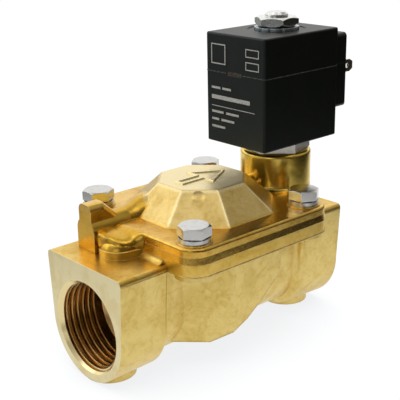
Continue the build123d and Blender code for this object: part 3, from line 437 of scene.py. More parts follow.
def make_bonnet_brass():
    s = CastBrass("cast_brass_bonnet")
    x, y, z = s.xyz()

    # zones by place (mm): the pilot arm, the dome with its flat top, the pilot boss
    from_dome = s.math("SQRT", s.add(s.mul(s.sub(x, DIAPHRAGM_X), s.sub(x, DIAPHRAGM_X)),
                                     s.mul(y, y)))
    on_arm = s.mul(s.ramp(y, lo=3.2, hi=4.2), s.ramp(x, lo=33.0, hi=31.0))
    dome_foot_z, dome_slope = 30.0, 1.13  # the slope is radius lost per height
    cone = s.add(from_dome, s.mul(s.sub(z, dome_foot_z), dome_slope))
    dome = s.mul(s.ramp(z, lo=31.1, hi=31.9), s.ramp(cone, lo=30.2, hi=29.6), s.invert(on_arm))
    dome_top = s.mul(s.ramp(z, lo=40.7, hi=41.1), s.ramp(from_dome, lo=18.5, hi=17.5))
    boss_radius = s.radius(s.sub(x, PILOT_X), y)
    boss = s.mul(s.ramp(boss_radius, lo=14.4, hi=13.8), s.ramp(z, lo=31.2, hi=32.0))
    low_arm = s.mul(s.largest(on_arm, s.ramp(x, lo=20.0, hi=18.8)), s.ramp(z, lo=38.0, hi=35.5))

    base_color, stain_color = (0.85, 0.56, 0.13), (0.64, 0.35, 0.035)
    arm_base = (0.74, 0.45, 0.06)
    boss_base, boss_stain = (1.0, 0.74, 0.17), (0.93, 0.60, 0.08)
    dome_base, dome_stain = (0.79, 0.585, 0.215), (0.58, 0.38, 0.09)
    top_base, top_stain = (0.87, 0.67, 0.33), (0.70, 0.53, 0.24)
    base = s.mix(low_arm, base_color, arm_base)
    base = s.mix(boss, base, boss_base)
    base = s.mix(dome, base, s.mix(dome_top, dome_base, top_base))
    stain = s.mix(boss, stain_color, boss_stain)
    stain = s.mix(dome, stain, s.mix(dome_top, dome_stain, top_stain))
    # how strongly the glints are painted: most on the dome
    plain_glints, dome_glints = 0.25, 0.60
    color = s.cast_color(base, stain, residue=stain_color,
                         glint_amount=s.mixf(dome, plain_glints, dome_glints))
    roughness = s.cast_roughness(base=0.20)

    # painted highlights: the dome's eight ridges and rim, and the raised arrow, are painted bright
    ridge_pitch, half_pitch = math.pi / 4, 0.5
    turn = s.math("DIVIDE", s.math("ARCTAN2", y, s.sub(x, DIAPHRAGM_X)), ridge_pitch)
    turn = s.sub(turn, half_pitch)
    off = s.math("ABSOLUTE", s.sub(turn, s.math("ROUND", turn)))
    off_ridge = s.mul(off, ridge_pitch, from_dome)
    ridge = s.mul(s.ramp(off_ridge, lo=1.0, hi=0.25), s.invert(dome_top))
    rim = s.mul(s.ramp(z, lo=39.9, hi=40.7), s.ramp(z, lo=41.1, hi=40.9))
    ridge = s.mul(s.largest(ridge, rim), dome,
                  s.ramp(s.fine, lo=0.32, hi=0.60, at_lo=0.35, at_hi=0.95))
    arrow = s.mul(s.ramp(z, lo=41.12, hi=41.24), dome_top)
    ridge_highlight, arrow_highlight = 0.70, 0.95
    bright = s.largest(s.mul(ridge, ridge_highlight), s.mul(arrow, arrow_highlight))
    bright_color = (0.98, 0.86, 0.50)
    color = s.mix(bright, color, bright_color)

    joint_face = s.mul(s.under(z, limit=25.54), s.over(z, limit=25.4))
    top_roughness, joint_roughness, bright_roughness, boss_roughness = 0.38, 0.30, 0.26, 0.15
    dome_extra = 0.10
    roughness = s.mixf(dome, roughness, s.add(roughness, dome_extra))
    roughness = s.mixf(dome_top, roughness, s.lift(top_roughness, s.fine, by=0.10))
    roughness = s.mixf(joint_face, roughness, joint_roughness)
    roughness = s.mixf(bright, roughness, bright_roughness)
    roughness = s.mixf(boss, roughness, s.lift(boss_roughness, s.fine, by=0.08))
    # less painted crevice shade on the pilot boss, none on the dome top
    boss_shade_cut = 0.6
    s.finish(color, roughness, s.cast_height(), grain=0.000030,
             shade_reach=s.invert(s.largest(dome_top, s.mul(boss, boss_shade_cut))))
    return s


# ------------------------------------------------------------------ other metals
def metal(name, base, dark, rough, turn=0.0, axis_x=0.0, scratch=0.5, grain=0.000004,
          edge_highlight_color=(0.95, 0.95, 0.93)):
    """Turned, rolled or plated metal.

    turn and scratch weigh the lathe rings round axis_x (mm) and the lines of rolling and
    handling; grain is the relief in metres; the edge colour is that of a painted highlight along the
    edges.
    """
    s = Shader(name)
    x, y, z = s.xyz()
    normal, edge = s.edges(radius=0.00022)
    axis_radius = s.radius(s.sub(x, axis_x), s.sub(y, AXIS_Y))
    ring_density = 7.0
    ring_place = s.combine(s.mul(axis_radius, ring_density), s.mul(z, ring_density), 0.0)
    rings = s.noise(scale=1.0, detail=3.0, rough=0.6, vector=ring_place)
    line_density = (0.7, 6.0, 4.0)  # along x, y and z: stretched along x
    line_place = s.combine(*[s.mul(v, density) for v, density in zip((x, y, z), line_density)])
    lines = s.noise(scale=1.0, detail=3.0, rough=0.65, vector=line_place)
    blot = s.noise(scale=0.45, detail=4.0, rough=0.6, offset=(7.0, 3.0, 21.0))
    fine = s.noise(scale=5.0, rough=0.6)

    color = s.mix(s.ramp(blot, lo=0.42, hi=0.68), base, dark, amount=0.7)
    color = s.mix(s.ramp(lines, lo=0.58, hi=0.74), color, scaled(dark, 0.7),
                  amount=scratch * 0.5)
    # painted shade in crevices
    crevice_shade_color = (0.10, 0.09, 0.08)
    crevice_shade = s.ramp(s.ao(distance=0.0016), lo=0.75, hi=0.25)
    color = s.mix(crevice_shade, color, crevice_shade_color, amount=0.55)
    # painted highlight along the edges
    color = s.mix(edge, color, edge_highlight_color, amount=0.55)
    roughness = s.vary(rough, lines, swing=0.25 * scratch)
    roughness = s.vary(roughness, fine, swing=0.12)
    height = s.layers((rings, turn), (fine, 0.5), (lines, 0.4 * scratch))
    s.principled(Base_Color=color, Metallic=1.0, Roughness=roughness,
                 Normal=s.bump(height, distance=grain, normal=normal))
    return s


def make_stud_steel():
    """The stud end: turned, with the last thread turn rolled in."""
    s = Shader("stud_end_steel")
    x, y, z = s.xyz()
    normal, edge = s.edges(radius=0.0003)
    from_axis = s.sub(x, TUBE_X * 1000)
    axis_radius = s.radius(from_axis, y)
    thread_pitch = 1.05  # mm
    angle = s.math("ARCTAN2", y, from_axis)
    thread = s.wave(s.add(s.mul(z, 2 * math.pi / thread_pitch), angle))
    side = s.mul(s.over(axis_radius, limit=4.1), s.over(z, limit=88.7))
    fine = s.noise(scale=4.0, detail=3.0, rough=0.6)
    rings_per_mm = 6.0
    ring_place = s.combine(s.mul(axis_radius, rings_per_mm), 0.0, 0.0)
    rings = s.noise(scale=1.0, detail=3.0, rough=0.6, vector=ring_place)

    light, dark = (0.84, 0.84, 0.83), (0.66, 0.66, 0.64)
    edge_highlight_color, groove_shade_color = (0.97, 0.97, 0.96), (0.28, 0.27, 0.25)
    clouds = s.noise(scale=0.5, detail=3.0, rough=0.6)
    color = s.mix(s.ramp(clouds, lo=0.4, hi=0.68), light, dark)
    # painted highlight along the edges
    color = s.mix(edge, color, edge_highlight_color, amount=0.5)
    # painted shade in the thread's grooves
    groove = s.mul(side, s.ramp(thread, lo=0.35, hi=0.0))
    color = s.mix(groove, color, groove_shade_color, amount=0.7)
    height = s.layers((rings, 0.10), (fine, 0.05), (s.mul(thread, side), 1.0))
    s.principled(Base_Color=color, Metallic=1.0,
                 Roughness=s.ramp(fine, lo=0.35, hi=0.65, at_lo=0.16, at_hi=0.30),
                 Normal=s.bump(height, distance=0.00009, normal=normal))
    return s


# ------------------------------------------------------------------ plastics, wire and rubber
def make_black_moulding():
    s = Shader("black_moulding")
    x, y, z = s.xyz()
    normal, edge = s.edges(radius=0.0004)
    texture = s.noise(scale=7.0, detail=3.0, rough=0.65)
    cloud = s.noise(scale=0.12, detail=3.0, rough=0.6, offset=(4.0, 2.0, 8.0))
    black, worn_black = (0.0012, 0.0026, 0.0023), (0.0028, 0.0042, 0.0037)
    color = s.mix(s.ramp(cloud, lo=0.38, hi=0.66), black, worn_black)

    # mould parting line: a chalky hairline broken up along its length
    breaks = s.noise(scale=0.9, detail=3.0, rough=0.7, offset=(1.0, 1.0, 1.0))
    line = s.mul(s.near(z, 75.72, gone=0.17, full=0.10), s.ramp(breaks, lo=0.42, hi=0.62))
    chalk = (0.20, 0.20, 0.19)
    color = s.mix(line, color, chalk, amount=0.50)

    # broken gate on the -X face: bare, slightly brown resin
    gate_depth, gate_y, gate_z = 0.6, 0.4, 75.7
    gate = s.mul(s.under(x, COIL_FACE_X + gate_depth), s.near(y, gate_y, gone=3.9, full=3.3),
                 s.near(z, gate_z, gone=0.95, full=0.45))
    tears = s.noise(scale=2.6, detail=4.0, rough=0.75, offset=(5.0, 1.0, 2.0))
    torn = s.ramp(tears, lo=0.46, hi=0.60)
    resin = (0.22, 0.13, 0.08)
    color = s.mix(s.mul(gate, torn), color, resin, amount=0.8)

    # scuffed corners and specks of dust
    scuffs = s.noise(scale=1.2, detail=3.0, rough=0.7, offset=(2.0, 9.0, 4.0))
    scuff_grey, dust_grey = (0.16, 0.16, 0.15), (0.35, 0.35, 0.34)
    corner = s.mul(edge, s.ramp(scuffs, lo=0.52, hi=0.70))
    color = s.mix(corner, color, scuff_grey, amount=0.30)
    dust_places = s.noise(scale=0.16, offset=(8.0, 8.0, 8.0))
    dust = s.mul(s.ramp(s.voronoi(scale=0.30), lo=0.045, hi=0.02),
                 s.ramp(dust_places, lo=0.50, hi=0.60))
    color = s.mix(dust, color, dust_grey, amount=0.6)

    height = s.layers((texture, 0.6), (s.mul(gate, torn), 1.5))
    s.principled(Base_Color=color, Metallic=0.0, Roughness=s.vary(0.40, texture, swing=0.16),
                 IOR=1.5, Specular_IOR_Level=0.42, Specular_Tint=(0.86, 1.0, 0.96),
                 Normal=s.bump(height, distance=0.000008, normal=normal))
    return s


def make_bobbin_plastic():
    s = Shader("natural_bobbin")
    base, dark = (0.62, 0.59, 0.52), (0.50, 0.47, 0.40)
    normal, edge = s.edges(radius=0.0002)
    cloud = s.noise(scale=0.3, detail=3.0, rough=0.6)
    texture = s.noise(scale=5.0, detail=3.0, rough=0.6)
    color = s.mix(s.ramp(cloud, lo=0.4, hi=0.65), base, dark)
    # painted highlight along the edges
    painted_edge_light = tuple(min(1.0, c * 1.5 + 0.05) for c in base)
    color = s.mix(edge, color, painted_edge_light, amount=0.3)
    # painted shade in crevices
    crevice_shade = s.ramp(s.ao(distance=0.001), lo=0.7, hi=0.3)
    color = s.mix(crevice_shade, color, scaled(dark, 0.5), amount=0.4)
    s.principled(Base_Color=color,
                 Roughness=s.ramp(texture, lo=0.3, hi=0.7, at_lo=0.36, at_hi=0.50),
                 Normal=s.bump(texture, distance=0.00001, normal=normal))
    return s


def make_winding():
    """Enamelled wire laid in layers: the turns show as fine ridges round the coil."""
    s = Shader("enamelled_winding")
    z = s.xyz()[2]
    turn_pitch = 0.32  # mm
    ridge = s.wave(s.mul(z, 2 * math.pi / turn_pitch))
    cloud = s.noise(scale=0.5, detail=3.0, rough=0.6)
    light, dark, gap = (0.46, 0.15, 0.05), (0.30, 0.08, 0.03), (0.08, 0.02, 0.01)
    color = s.mix(s.ramp(cloud, lo=0.4, hi=0.66), light, dark)
    # painted shade in the gaps between turns
    color = s.mix(s.ramp(ridge, lo=0.45, hi=0.0), color, gap)
    s.principled(Base_Color=color, Metallic=0.35,
                 Roughness=s.ramp(cloud, lo=0.3, hi=0.7, at_lo=0.22, at_hi=0.36),
                 Coat_Weight=0.6, Coat_Roughness=0.15, Normal=s.bump(ridge, distance=0.00006))
    return s


def rubber(name, base):
    s = Shader(name)
    normal, edge = s.edges(radius=0.0002)
    weave = s.noise(scale=3.0, detail=4.0, rough=0.65)
    bloom = s.noise(scale=0.25, detail=3.0, rough=0.6, offset=(5.0, 5.0, 5.0))
    painted_edge_light = (0.07, 0.07, 0.07)
    color = s.mix(s.ramp(bloom, lo=0.42, hi=0.66), base, scaled(base, 2.1))
    # painted highlight along the edges
    color = s.mix(edge, color, painted_edge_light, amount=0.35)
    s.principled(Base_Color=color,
                 Roughness=s.ramp(weave, lo=0.3, hi=0.7, at_lo=0.55, at_hi=0.75),
                 Specular_IOR_Level=0.35, Normal=s.bump(weave, distance=0.00002, normal=normal))
    return s


# ------------------------------------------------------------------ the materials on the pieces
body_brass = make_body_brass()
bonnet_brass = make_bonnet_brass()
tube_axis = TUBE_X * 1000
stainless = metal("stainless_screw", base=(0.66, 0.66, 0.655), dark=(0.56, 0.56, 0.55),
                  rough=0.13, scratch=0.4)
washer_steel = metal("spring_washer_steel", base=(0.70, 0.70, 0.70), dark=(0.50, 0.50, 0.49),
                     rough=0.28, scratch=0.8, grain=0.000007)
spring_wire = metal("spring_wire", base=(0.62, 0.62, 0.63), dark=(0.42, 0.41, 0.40),
                    rough=0.26, scratch=0.9)
nickel_hex = metal("nickel_hexagon", base=(0.95, 0.94, 0.91), dark=(0.76, 0.74, 0.70),
                   rough=0.36, scratch=1.0, grain=0.000012, axis_x=tube_axis)
nickel_nut = metal("nickel_nut", base=(0.84, 0.86, 0.85), dark=(0.68, 0.69, 0.67),
                   rough=0.20, turn=0.3, scratch=0.4, grain=0.000005, axis_x=tube_axis)
zinc = metal("blue_zinc", base=(0.62, 0.70, 0.76), dark=(0.40, 0.52, 0.58), rough=0.30,
             grain=0.000010, axis_x=tube_axis, edge_highlight_color=(0.82, 0.92, 0.95))
turned_steel = metal("turned_steel", base=(0.66, 0.66, 0.67), dark=(0.50, 0.50, 0.50),
                     rough=0.26, turn=1.2, scratch=0.4, grain=0.000006, axis_x=tube_axis)
turned_brass = metal("turned_brass", base=(0.84, 0.69, 0.38), dark=(0.66, 0.50, 0.22),
                     rough=0.24, turn=1.0, grain=0.000006, axis_x=BODY_MID_X * 1000,
                     edge_highlight_color=(0.95, 0.86, 0.60))
copper = metal("bare_copper", base=(0.86, 0.50, 0.33), dark=(0.60, 0.30, 0.18), rough=0.28,
               turn=0.6, scratch=0.6, grain=0.000005, axis_x=tube_axis,
               edge_highlight_color=(0.95, 0.66, 0.50))
tinned = metal("tinned_blade", base=(0.78, 0.74, 0.64), dark=(0.60, 0.55, 0.44), rough=0.27,
               scratch=1.2, grain=0.000008)
black = make_black_moulding()
bobbin_plastic = make_bobbin_plastic()
nitrile = rubber("nitrile_rubber", base=(0.022, 0.022, 0.022))
seal_rubber = rubber("seal_rubber", base=(0.030, 0.026, 0.022))
winding = make_winding()
stud_steel = make_stud_steel()

FINISH = {
    "valve_body": body_brass, "bonnet": bonnet_brass,
    "bonnet_bolts": stainless, "bolt_spring_washers": washer_steel,
    "main_diaphragm": nitrile, "diaphragm_support_plate": turned_brass,
    "diaphragm_guide_disc": turned_brass, "diaphragm_screw": stainless,
    "diaphragm_nut": stainless, "closing_spring": spring_wire,
    "pilot_strainer": turned_brass, "inlet_pilot_o_ring": nitrile,
    "outlet_pilot_o_ring": nitrile, "pilot_nozzle": turned_brass,
    "tube_base": nickel_hex, "tube_base_o_ring": nitrile, "guide_tube": turned_steel,
    "fixed_core": stud_steel, "shading_ring": copper, "plunger": turned_steel,
    "pilot_seal": seal_rubber, "plunger_spring": spring_wire,
    "coil_housing": black, "coil_yoke": turned_steel, "coil_bobbin": bobbin_plastic,
    "coil_winding": winding, "terminal_blades": tinned, "earth_blade": tinned,
    "plug_insert": turned_brass, "coil_washer": zinc, "coil_nut": nickel_nut,
}
for name, obj in nodes.items():
    paint(obj, FINISH[name])
    smooth(obj.data, crisp_degrees=32)


# ------------------------------------------------------------------ mesh helpers
def new_mesh(name, verts, faces, shader):
    """Smooth painted object; verts are in metres."""
    mesh = bpy.data.meshes.new(name)
    mesh.from_pydata([tuple(v) for v in verts], [], faces)
    bm = bmesh.new()
    bm.from_mesh(mesh)
    bmesh.ops.recalc_face_normals(bm, faces=bm.faces)
    bm.to_mesh(mesh)
    bm.free()
    obj = bpy.data.objects.new(name, mesh)
    scene.collection.objects.link(obj)
    paint(obj, shader)
    smooth(mesh, crisp_degrees=38)
    return obj


def loft_faces(stations, points, closed=False):
    """Quads between successive loops of points; the ends are capped or joined to each other."""
    faces = []
    for i in range(stations if closed else stations - 1):
        here, there = i * points, (i + 1) % stations * points
        for j in range(points):
            after = (j + 1) % points
            faces.append((here + j, here + after, there + after, there + j))
    if not closed:
        last = (stations - 1) * points
        faces.append(tuple(range(points)))
        faces.append(tuple(last + j for j in reversed(range(points))))
    return faces


def lofted_casting(name, verts, points, shader):
    """Capped loft that belongs to the brass castings."""
    obj = new_mesh(name, verts, loft_faces(len(verts) // points, points), shader)
    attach(obj, "valve")


# ------------------------------------------------------------------ springs and diaphragm
def spring(name, piece, axis_x, radius, wire, bottom, top, turns, steps, around):
    """Coil of wire (a radius, mm) with end turns wound flat, from its bottom to its top."""
    flat_turns = 0.8
    verts = []
    count = int(turns * steps)
    for i in range(count + 1):
        t = i / count
        angle = 2 * math.pi * turns * t
        rise = (turns * t - flat_turns) / (turns - 2 * flat_turns)
        rise = min(1.0, max(0.0, rise))
        z = bottom + wire + (top - bottom - 2 * wire) * rise
        centre = Vector((axis_x + radius * math.cos(angle), AXIS_Y + radius * math.sin(angle), z))
        outward = Vector((math.cos(angle), math.sin(angle), 0.0))
        upward = Vector((0.0, 0.0, 1.0))
        for k in range(around):
            b = 2 * math.pi * k / around
            verts.append((centre + (outward * math.cos(b) + upward * math.sin(b)) * wire) * MM)
    obj = new_mesh(name, verts, loft_faces(count + 1, around), spring_wire)
    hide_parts(piece)
    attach(obj, "valve")
    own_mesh(obj)


spring("closing_spring_coils", "closing_spring", DIAPHRAGM_X, radius=8.4, wire=0.6,
       bottom=25.5, top=36.6, turns=5.0, steps=30, around=10)
spring("plunger_spring_coils", "plunger_spring", PILOT_X, radius=2.4, wire=0.3,
       bottom=47.05, top=61.95, turns=8.5, steps=24, around=8)


def diaphragm_sheet():
    """The rubber sheet, with close rings through its convolution."""
    bend_inner, bend_outer = 16.2, 25.6  # radii between which the sheet bends
    # outline of the section: (radius, z)
    lower = [(3.06, 22.0), (bend_inner, 22.0), (19.0, 22.5), (bend_outer, 23.9), (26.2, 23.5),
             (30.4, 23.5)]
    upper = [(30.4, 25.5), (26.0, 25.5), (25.0, 25.1), (18.6, 23.8), (16.0, 23.4), (3.06, 23.4)]
    ring_pitch, fine_from, segments = 0.7, 15.0, 120
    section = []
    for line in (lower, upper):
        for (r0, z0), (r1, z1) in zip(line, line[1:]):
            rings = 1
            if max(r0, r1) > fine_from:
                rings = max(1, int(abs(r1 - r0) / ring_pitch))
            section += [(r0 + (r1 - r0) * i / rings, z0 + (z1 - z0) * i / rings)
                        for i in range(rings)]
        section.append(line[-1])
    axis_x = metres(DIAPHRAGM_X)
    angles = [2 * math.pi * j / segments for j in range(segments)]
    verts = [(axis_x + r * MM * math.cos(angle), r * MM * math.sin(angle), z * MM)
             for angle in angles for r, z in section]
    faces = loft_faces(segments, len(section), closed=True)
    obj = new_mesh("main_diaphragm_sheet", verts, faces, nitrile)
    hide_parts("main_diaphragm")
    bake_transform(obj)


diaphragm_sheet()


# ------------------------------------------------------------------ traces of forging
def flash_strip(name, path, seed):
    """Ragged remains of die flash; the path is a list of (point, outward direction), mm."""
    rng = random.Random(seed)
    root, half = -0.5, 0.25      # how far the strip is sunk in, and about half its height
    taper = 4.0                  # points over which each end thins out
    verts = []
    for i, (point, outward) in enumerate(path):
        end = min(1.0, i / taper, (len(path) - 1 - i) / taper)
        slow = noise.noise(Vector((point.x * 0.55, point.y * 0.55, seed)))
        quick = noise.noise(Vector((point.x * 1.9, point.y * 1.9, seed + 5.0)))
        width = (0.16 + 0.30 * max(0.0, slow + 0.15) + 0.16 * quick) * end
        width = max(0.02, width)
        wander = 0.10 * quick + 0.05 * rng.uniform(-1, 1)
        # section: (distance outward, height)
        section = ((root, 0.01 - half), (width * 0.75, -0.20 + wander), (width, -0.02 + wander),
                   (width * 0.6, 0.20 + wander), (root, 0.01 + half))
        verts += [(point + outward * out + Vector((0, 0, h))) * MM for out, h in section]
    lofted_casting(name, verts, 5, body_brass)


def flange_side_path(sign):
    """Along the flange's +Y or -Y side, with the rounded corner at each end."""
    middle_x, half_x, half_y, corner, z = 53.0, 33.7, 33.3, 7.0, 21.15
    x0, x1 = middle_x - half_x + corner, middle_x + half_x - corner
    side_steps, arc_steps = 130, 24

    def arc(centre_x, start):
        """Quarter turn downward from the start angle."""
        points = []
        for i in range(arc_steps + 1):
            a = math.radians(start - 90.0 * i / arc_steps)
            y = sign * (half_y - corner + corner * math.sin(a))
            points.append((Vector((centre_x + corner * math.cos(a), y, z)),
                           Vector((math.cos(a), sign * math.sin(a), 0))))
        return points

    side = [(Vector((x0 + (x1 - x0) * i / side_steps, sign * half_y, z)), Vector((0, sign, 0)))
            for i in range(1, side_steps)]
    return arc(x0, 180.0) + side + arc(x1, 90.0)


def block_side_path(sign, x0, x1, y0, y1):
    """Straight along one side of a port block."""
    steps, z = 60, 20.75
    return [(Vector((x0 + (x1 - x0) * i / steps, sign * (y0 + (y1 - y0) * i / steps), z)),
             Vector((0, sign, 0))) for i in range(steps + 1)]


# the port blocks' sides: x0, x1, y0, y1
PORT_BLOCKS = ((0.7, 19.4, 20.44, 20.31), (87.2, 106.3, 20.11, 20.44))
for number, sign in enumerate((-1, 1)):
    flash_strip(f"flange_flash_{number}", flange_side_path(sign), seed=11 + number)
    for end, block in enumerate(PORT_BLOCKS):
        flash_strip(f"block_flash_{number}_{end}", block_side_path(sign, *block),
                    seed=31 + 2 * number + end)


def tongue_web():
    """Forged web that carries the tongue's top up to the flange, on the pilot arm's -Y side."""
    # stations: x from the diaphragm axis, y of the -Y edge, z of the top at the arm
    stations = [
        (-43.9, 2.9, 29.3), (-43.5, 0.9, 30.1), (-43.0, -1.2, 30.6), (-42.3, -3.1, 30.9),
        (-41.4, -4.2, 31.05), (-40.4, -5.0, 31.1), (-39.0, -5.45, 31.1), (-37.6, -5.8, 31.1),
        (-36.6, -6.0, 31.1), (-35.8, -6.4, 31.1), (-35.1, -6.9, 31.1), (-34.5, -7.4, 31.1),
        (-34.0, -7.8, 31.1), (-33.4, -8.2, 31.1), (-32.6, -8.5, 31.1)]
    bottom, inner_y, arm_y = 25.6, 5.1, 5.9
    verts = []
    for x, front, high in stations:
        # the sloped section turns into the level-topped one along x
        t = min(max((x + 38.6) / 5.0, 0.0), 1.0)
        t = t * t * (3 - 2 * t)
        low = 29.0 + 1.99 * t
        # sections: (y, z)
        sloped = [(front - 0.75, bottom), (front - 0.75, 26.6), (front - 0.35, 27.7),
                  (front + 0.45, 28.55), (front * 0.70 + 0.6, 29.3), (front * 0.36 + 2.6, 30.1),
                  (inner_y, high + 0.1), (arm_y, high + 0.1), (arm_y, bottom)]
        level = [(front - 0.75, bottom), (front - 0.75, low - 1.7), (front - 0.35, low - 0.75),
                 (front + 0.35, low - 0.22), (front + 1.3, low - 0.02), (0.0, low),
                 (inner_y, low + 0.01), (arm_y, low + 0.01), (arm_y, bottom)]
        for (ya, za), (yb, zb) in zip(sloped, level):
            verts.append(Vector((DIAPHRAGM_X + x, ya + (yb - ya) * t, za + (zb - za) * t)) * MM)
    lofted_casting("bonnet_web", verts, 9, bonnet_brass)


tongue_web()


# ------------------------------------------------------------------ print on the coil's -X face
def make_ink():
    s = Shader("white_print")
    wear = s.noise(scale=3.2, detail=4.0, rough=0.7, offset=(2.0, 6.0, 1.0))
    speck = s.noise(scale=9.0)
    worn_ink, ink_dark, ink_light = (0.18, 0.18, 0.17), (0.50, 0.51, 0.50), (0.62, 0.63, 0.61)
    color = s.mix(s.ramp(wear, lo=0.30, hi=0.52), worn_ink, s.mix(speck, ink_dark, ink_light))
    s.principled(Base_Color=color,
                 Roughness=s.ramp(speck, lo=0.3, hi=0.7, at_lo=0.45, at_hi=0.6),
                 Normal=s.bump(speck, distance=0.00001))
    return s


def print_bars():
    """Frames, a rule and blank bars, each bar as (y0, y1, z0, z1)."""
    # frames: y0, y1, z0, z1, line width
    frames = ((4.6, 12.0, 78.6, 86.0, 0.42), (-12.2, -5.6, 78.0, 81.0, 0.36),
              (-12.2, -5.6, 82.6, 85.6, 0.36))
    rule = (-10.2, 12.0, 62.86, 63.14)
    # rows of bars: z of the lower edge, height, (y0, y1) of each bar
    rows = ((69.4, 0.85, ((7.4, 12.0), (1.8, 6.4))), (65.6, 1.5, ((-7.8, 12.0),)),
            (60.4, 0.85, ((5.8, 12.0), (-2.2, 4.4))), (57.6, 0.85, ((8.2, 12.0), (0.2, 7.0))),
            (54.8, 0.85, ((5.0, 12.0),)))
    bars = []
    for y0, y1, z0, z1, w in frames:
        bars += [(y0, y1, z0, z0 + w), (y0, y1, z1 - w, z1),
                 (y0, y0 + w, z0 + w, z1 - w), (y1 - w, y1, z0 + w, z1 - w)]
    bars.append(rule)
    bars += [(y0, y1, z, z + height) for z, height, spans in rows for y0, y1 in spans]
    return bars


def coil_print():
    proud, sunk = 0.03, 0.02
    verts, faces = [], []
    for y0, y1, z0, z1 in print_bars():
        b = len(verts)
        for x in (COIL_FACE_X - proud, COIL_FACE_X + sunk):
            verts += [Vector((x, y, z)) * MM for y, z in ((y0, z0), (y1, z0), (y1, z1), (y0, z1))]
        faces += [(b, b + 1, b + 2, b + 3), (b + 4, b + 7, b + 6, b + 5)]
        faces += [(b + i, b + 4 + i, b + 4 + (i + 1) % 4, b + (i + 1) % 4) for i in range(4)]
    obj = new_mesh("coil_print", verts, faces, make_ink())
    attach(obj, "coil")


coil_print()


# ------------------------------------------------------------------ floor
def make_floor_paper():
    s = Shader("studio_floor")
    position = s.to_mm(s.new("ShaderNodeNewGeometry").outputs["Position"])
    x, y = s.xyz(position)[:2]

    # what the camera sees: white paper with a soft neutral shadow where the valve stands
    paper = s.noise(scale=0.02, detail=3.0, rough=0.6, vector=position)
    wide = s.ao(distance=0.16, samples=12)
    close = s.ao(distance=0.035, samples=12)
    shade = s.add(s.ramp(wide, lo=0.20, hi=0.92, at_hi=0.05),
                  s.ramp(close, lo=0.15, hi=0.95, at_hi=0.12),
                  s.ramp(paper, lo=0.3, hi=0.7, at_lo=0.862, at_hi=0.868))
    shadow_tint, white = (0.985, 0.99, 1.0), (1.0, 1.0, 1.0)
    tint = s.mix(s.ramp(wide, lo=0.5, hi=1.0), shadow_tint, white)
    seen = s.glow("ShaderNodeEmission", color=tint, strength=shade)

    # what the metal sees: lit paper that fades into a dim room, soonest to the camera's right
    across, along = 0.67, 0.745  # parts of roughly level unit directions
    from_middle = s.sub(x, DIAPHRAGM_X)
    to_right = s.sub(s.mul(from_middle, across), s.mul(y, along))
    to_left = s.mul(to_right, -1.0)
    to_camera = s.add(s.mul(from_middle, -across), s.mul(y, -along))
    fade = s.mul(s.ramp(to_right, lo=100.0, hi=225.0, at_lo=1.0, at_hi=0.01),
                 s.ramp(to_left, lo=120.0, hi=260.0, at_lo=1.0, at_hi=0.30),
                 s.ramp(to_camera, lo=130.0, hi=300.0, at_lo=1.0, at_hi=0.25))
    full_strength = 0.84
    reflected = s.glow("ShaderNodeEmission", color=(1.0, 0.985, 0.95),
                       strength=s.mul(fade, full_strength))
    s.output_by_ray(camera_sees=seen, others_see=reflected)
    return s


def make_floor():
    paper = make_floor_paper()
    cells, size, gap = 24, 6.0, 0.00002  # size and the gap under the valve in metres
    bm = bmesh.new()
    for i in range(cells + 1):
        for j in range(cells + 1):
            bm.verts.new((BODY_MID_X + (i / cells - 0.5) * size, (j / cells - 0.5) * size,
                          FLOOR_Z - gap))
    bm.verts.ensure_lookup_table()
    row = cells + 1
    for i in range(cells):
        for j in range(cells):
            a = i * row + j
            bm.faces.new([bm.verts[k] for k in (a, a + row, a + row + 1, a + 1)])
    mesh = bpy.data.meshes.new("studio_floor")
    bm.to_mesh(mesh)
    bm.free()
    obj = bpy.data.objects.new("studio_floor", mesh)
    scene.collection.objects.link(obj)
    paint(obj, paper)


make_floor()


# ------------------------------------------------------------------ light
def softbox(name, offset, size, power):
    """White area light aimed at the valve; the offset is from mid body in x, y and from z = 0."""
    light = bpy.data.lights.new(name, "AREA")
    light.shape = "RECTANGLE"
    light.size, light.size_y = size
    light.energy = power
    light.color = (1, 1, 1)
    obj = bpy.data.objects.new(name, light)
    scene.collection.objects.link(obj)
    place = Vector((BODY_MID_X + offset[0], offset[1], offset[2]))
    target = Vector((BODY_MID_X, 0.0, 0.03))
    obj.location = place
    obj.rotation_euler = (target - place).to_track_quat("-Z", "Y").to_euler()


softbox("overhead_softbox", offset=(-0.18, -0.10, 0.75), size=(0.50, 0.50), power=0.42)
softbox("back_left_softbox", offset=(-0.55, 0.55, 0.45), size=(0.45, 0.45), power=0.65)
softbox("left_fill", offset=(-0.75, -0.35, 0.28), size=(0.35, 0.5), power=0.40)


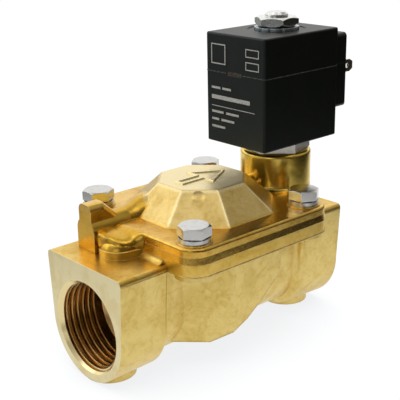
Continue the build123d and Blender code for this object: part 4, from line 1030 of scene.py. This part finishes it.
def make_world():
    """White to the camera; to the metal, a dim warm room with soft patches of light."""
    # direction, cosine where the patch starts, cosine where it is full, strength
    patches = (((-0.2, 0.05, 1.0), 0.72, 0.96, 0.26),
               ((0.5, 0.85, 0.30), 0.40, 0.86, 0.90),
               ((-0.75, 0.65, 0.45), 0.55, 0.92, 0.45),
               ((0.66, -0.24, 0.71), 0.66, 0.96, 0.26),
               # two narrow ones overhead draw the bright lines along the dome's ridges
               ((0.14, -0.46, 0.86), 0.955, 0.990, 1.1),
               ((-0.40, 0.28, 0.87), 0.955, 0.990, 0.8))
    ambient = 0.12
    s = Shader("studio_world", world=True)
    view = s.new("ShaderNodeTexCoord").outputs["Generated"]
    lobes = []
    for direction, start, full, strength in patches:
        cosine = s.vmath("DOT_PRODUCT", view, tuple(Vector(direction).normalized()))
        lobes.append(s.mul(s.ramp(cosine, lo=start, hi=full), strength))
    total = s.add(*lobes, ambient)
    warm, neutral = (1.0, 0.80, 0.55), (1.0, 0.985, 0.96)
    color = s.mix(s.ramp(total, lo=0.05, hi=0.45), warm, neutral)
    s.output_by_ray(
        camera_sees=s.glow("ShaderNodeBackground", color=(1, 1, 1), strength=1.0),
        others_see=s.glow("ShaderNodeBackground", color=color, strength=total))
    scene.world = s.owner


make_world()


# ------------------------------------------------------------------ camera and render
def make_camera():
    azimuth, elevation, roll = (math.radians(a) for a in (-41.774, 18.884, -1.112))
    place = Vector((-152.16, -229.03, 137.67)) * MM
    back = Vector((math.sin(azimuth) * math.cos(elevation),
                   -math.cos(azimuth) * math.cos(elevation), math.sin(elevation)))
    level_right = Vector((math.cos(azimuth), math.sin(azimuth), 0.0))
    level_up = back.cross(level_right)
    right = level_right * math.cos(roll) + level_up * math.sin(roll)
    up = -level_right * math.sin(roll) + level_up * math.cos(roll)
    data = bpy.data.cameras.new("camera")
    data.sensor_width = 36.0
    data.lens = 80.86392
    data.clip_start = 0.01
    data.clip_end = 20.0
    camera = bpy.data.objects.new("camera", data)
    scene.collection.objects.link(camera)
    # columns: right, up, back, place
    camera.matrix_world = Matrix((*zip(right, up, back, place), (0, 0, 0, 1)))
    scene.camera = camera


make_camera()
scene.view_settings.view_transform = "Standard"
scene.view_settings.look = "None"
scene.view_settings.exposure = 0.0
scene.view_settings.gamma = 1.0
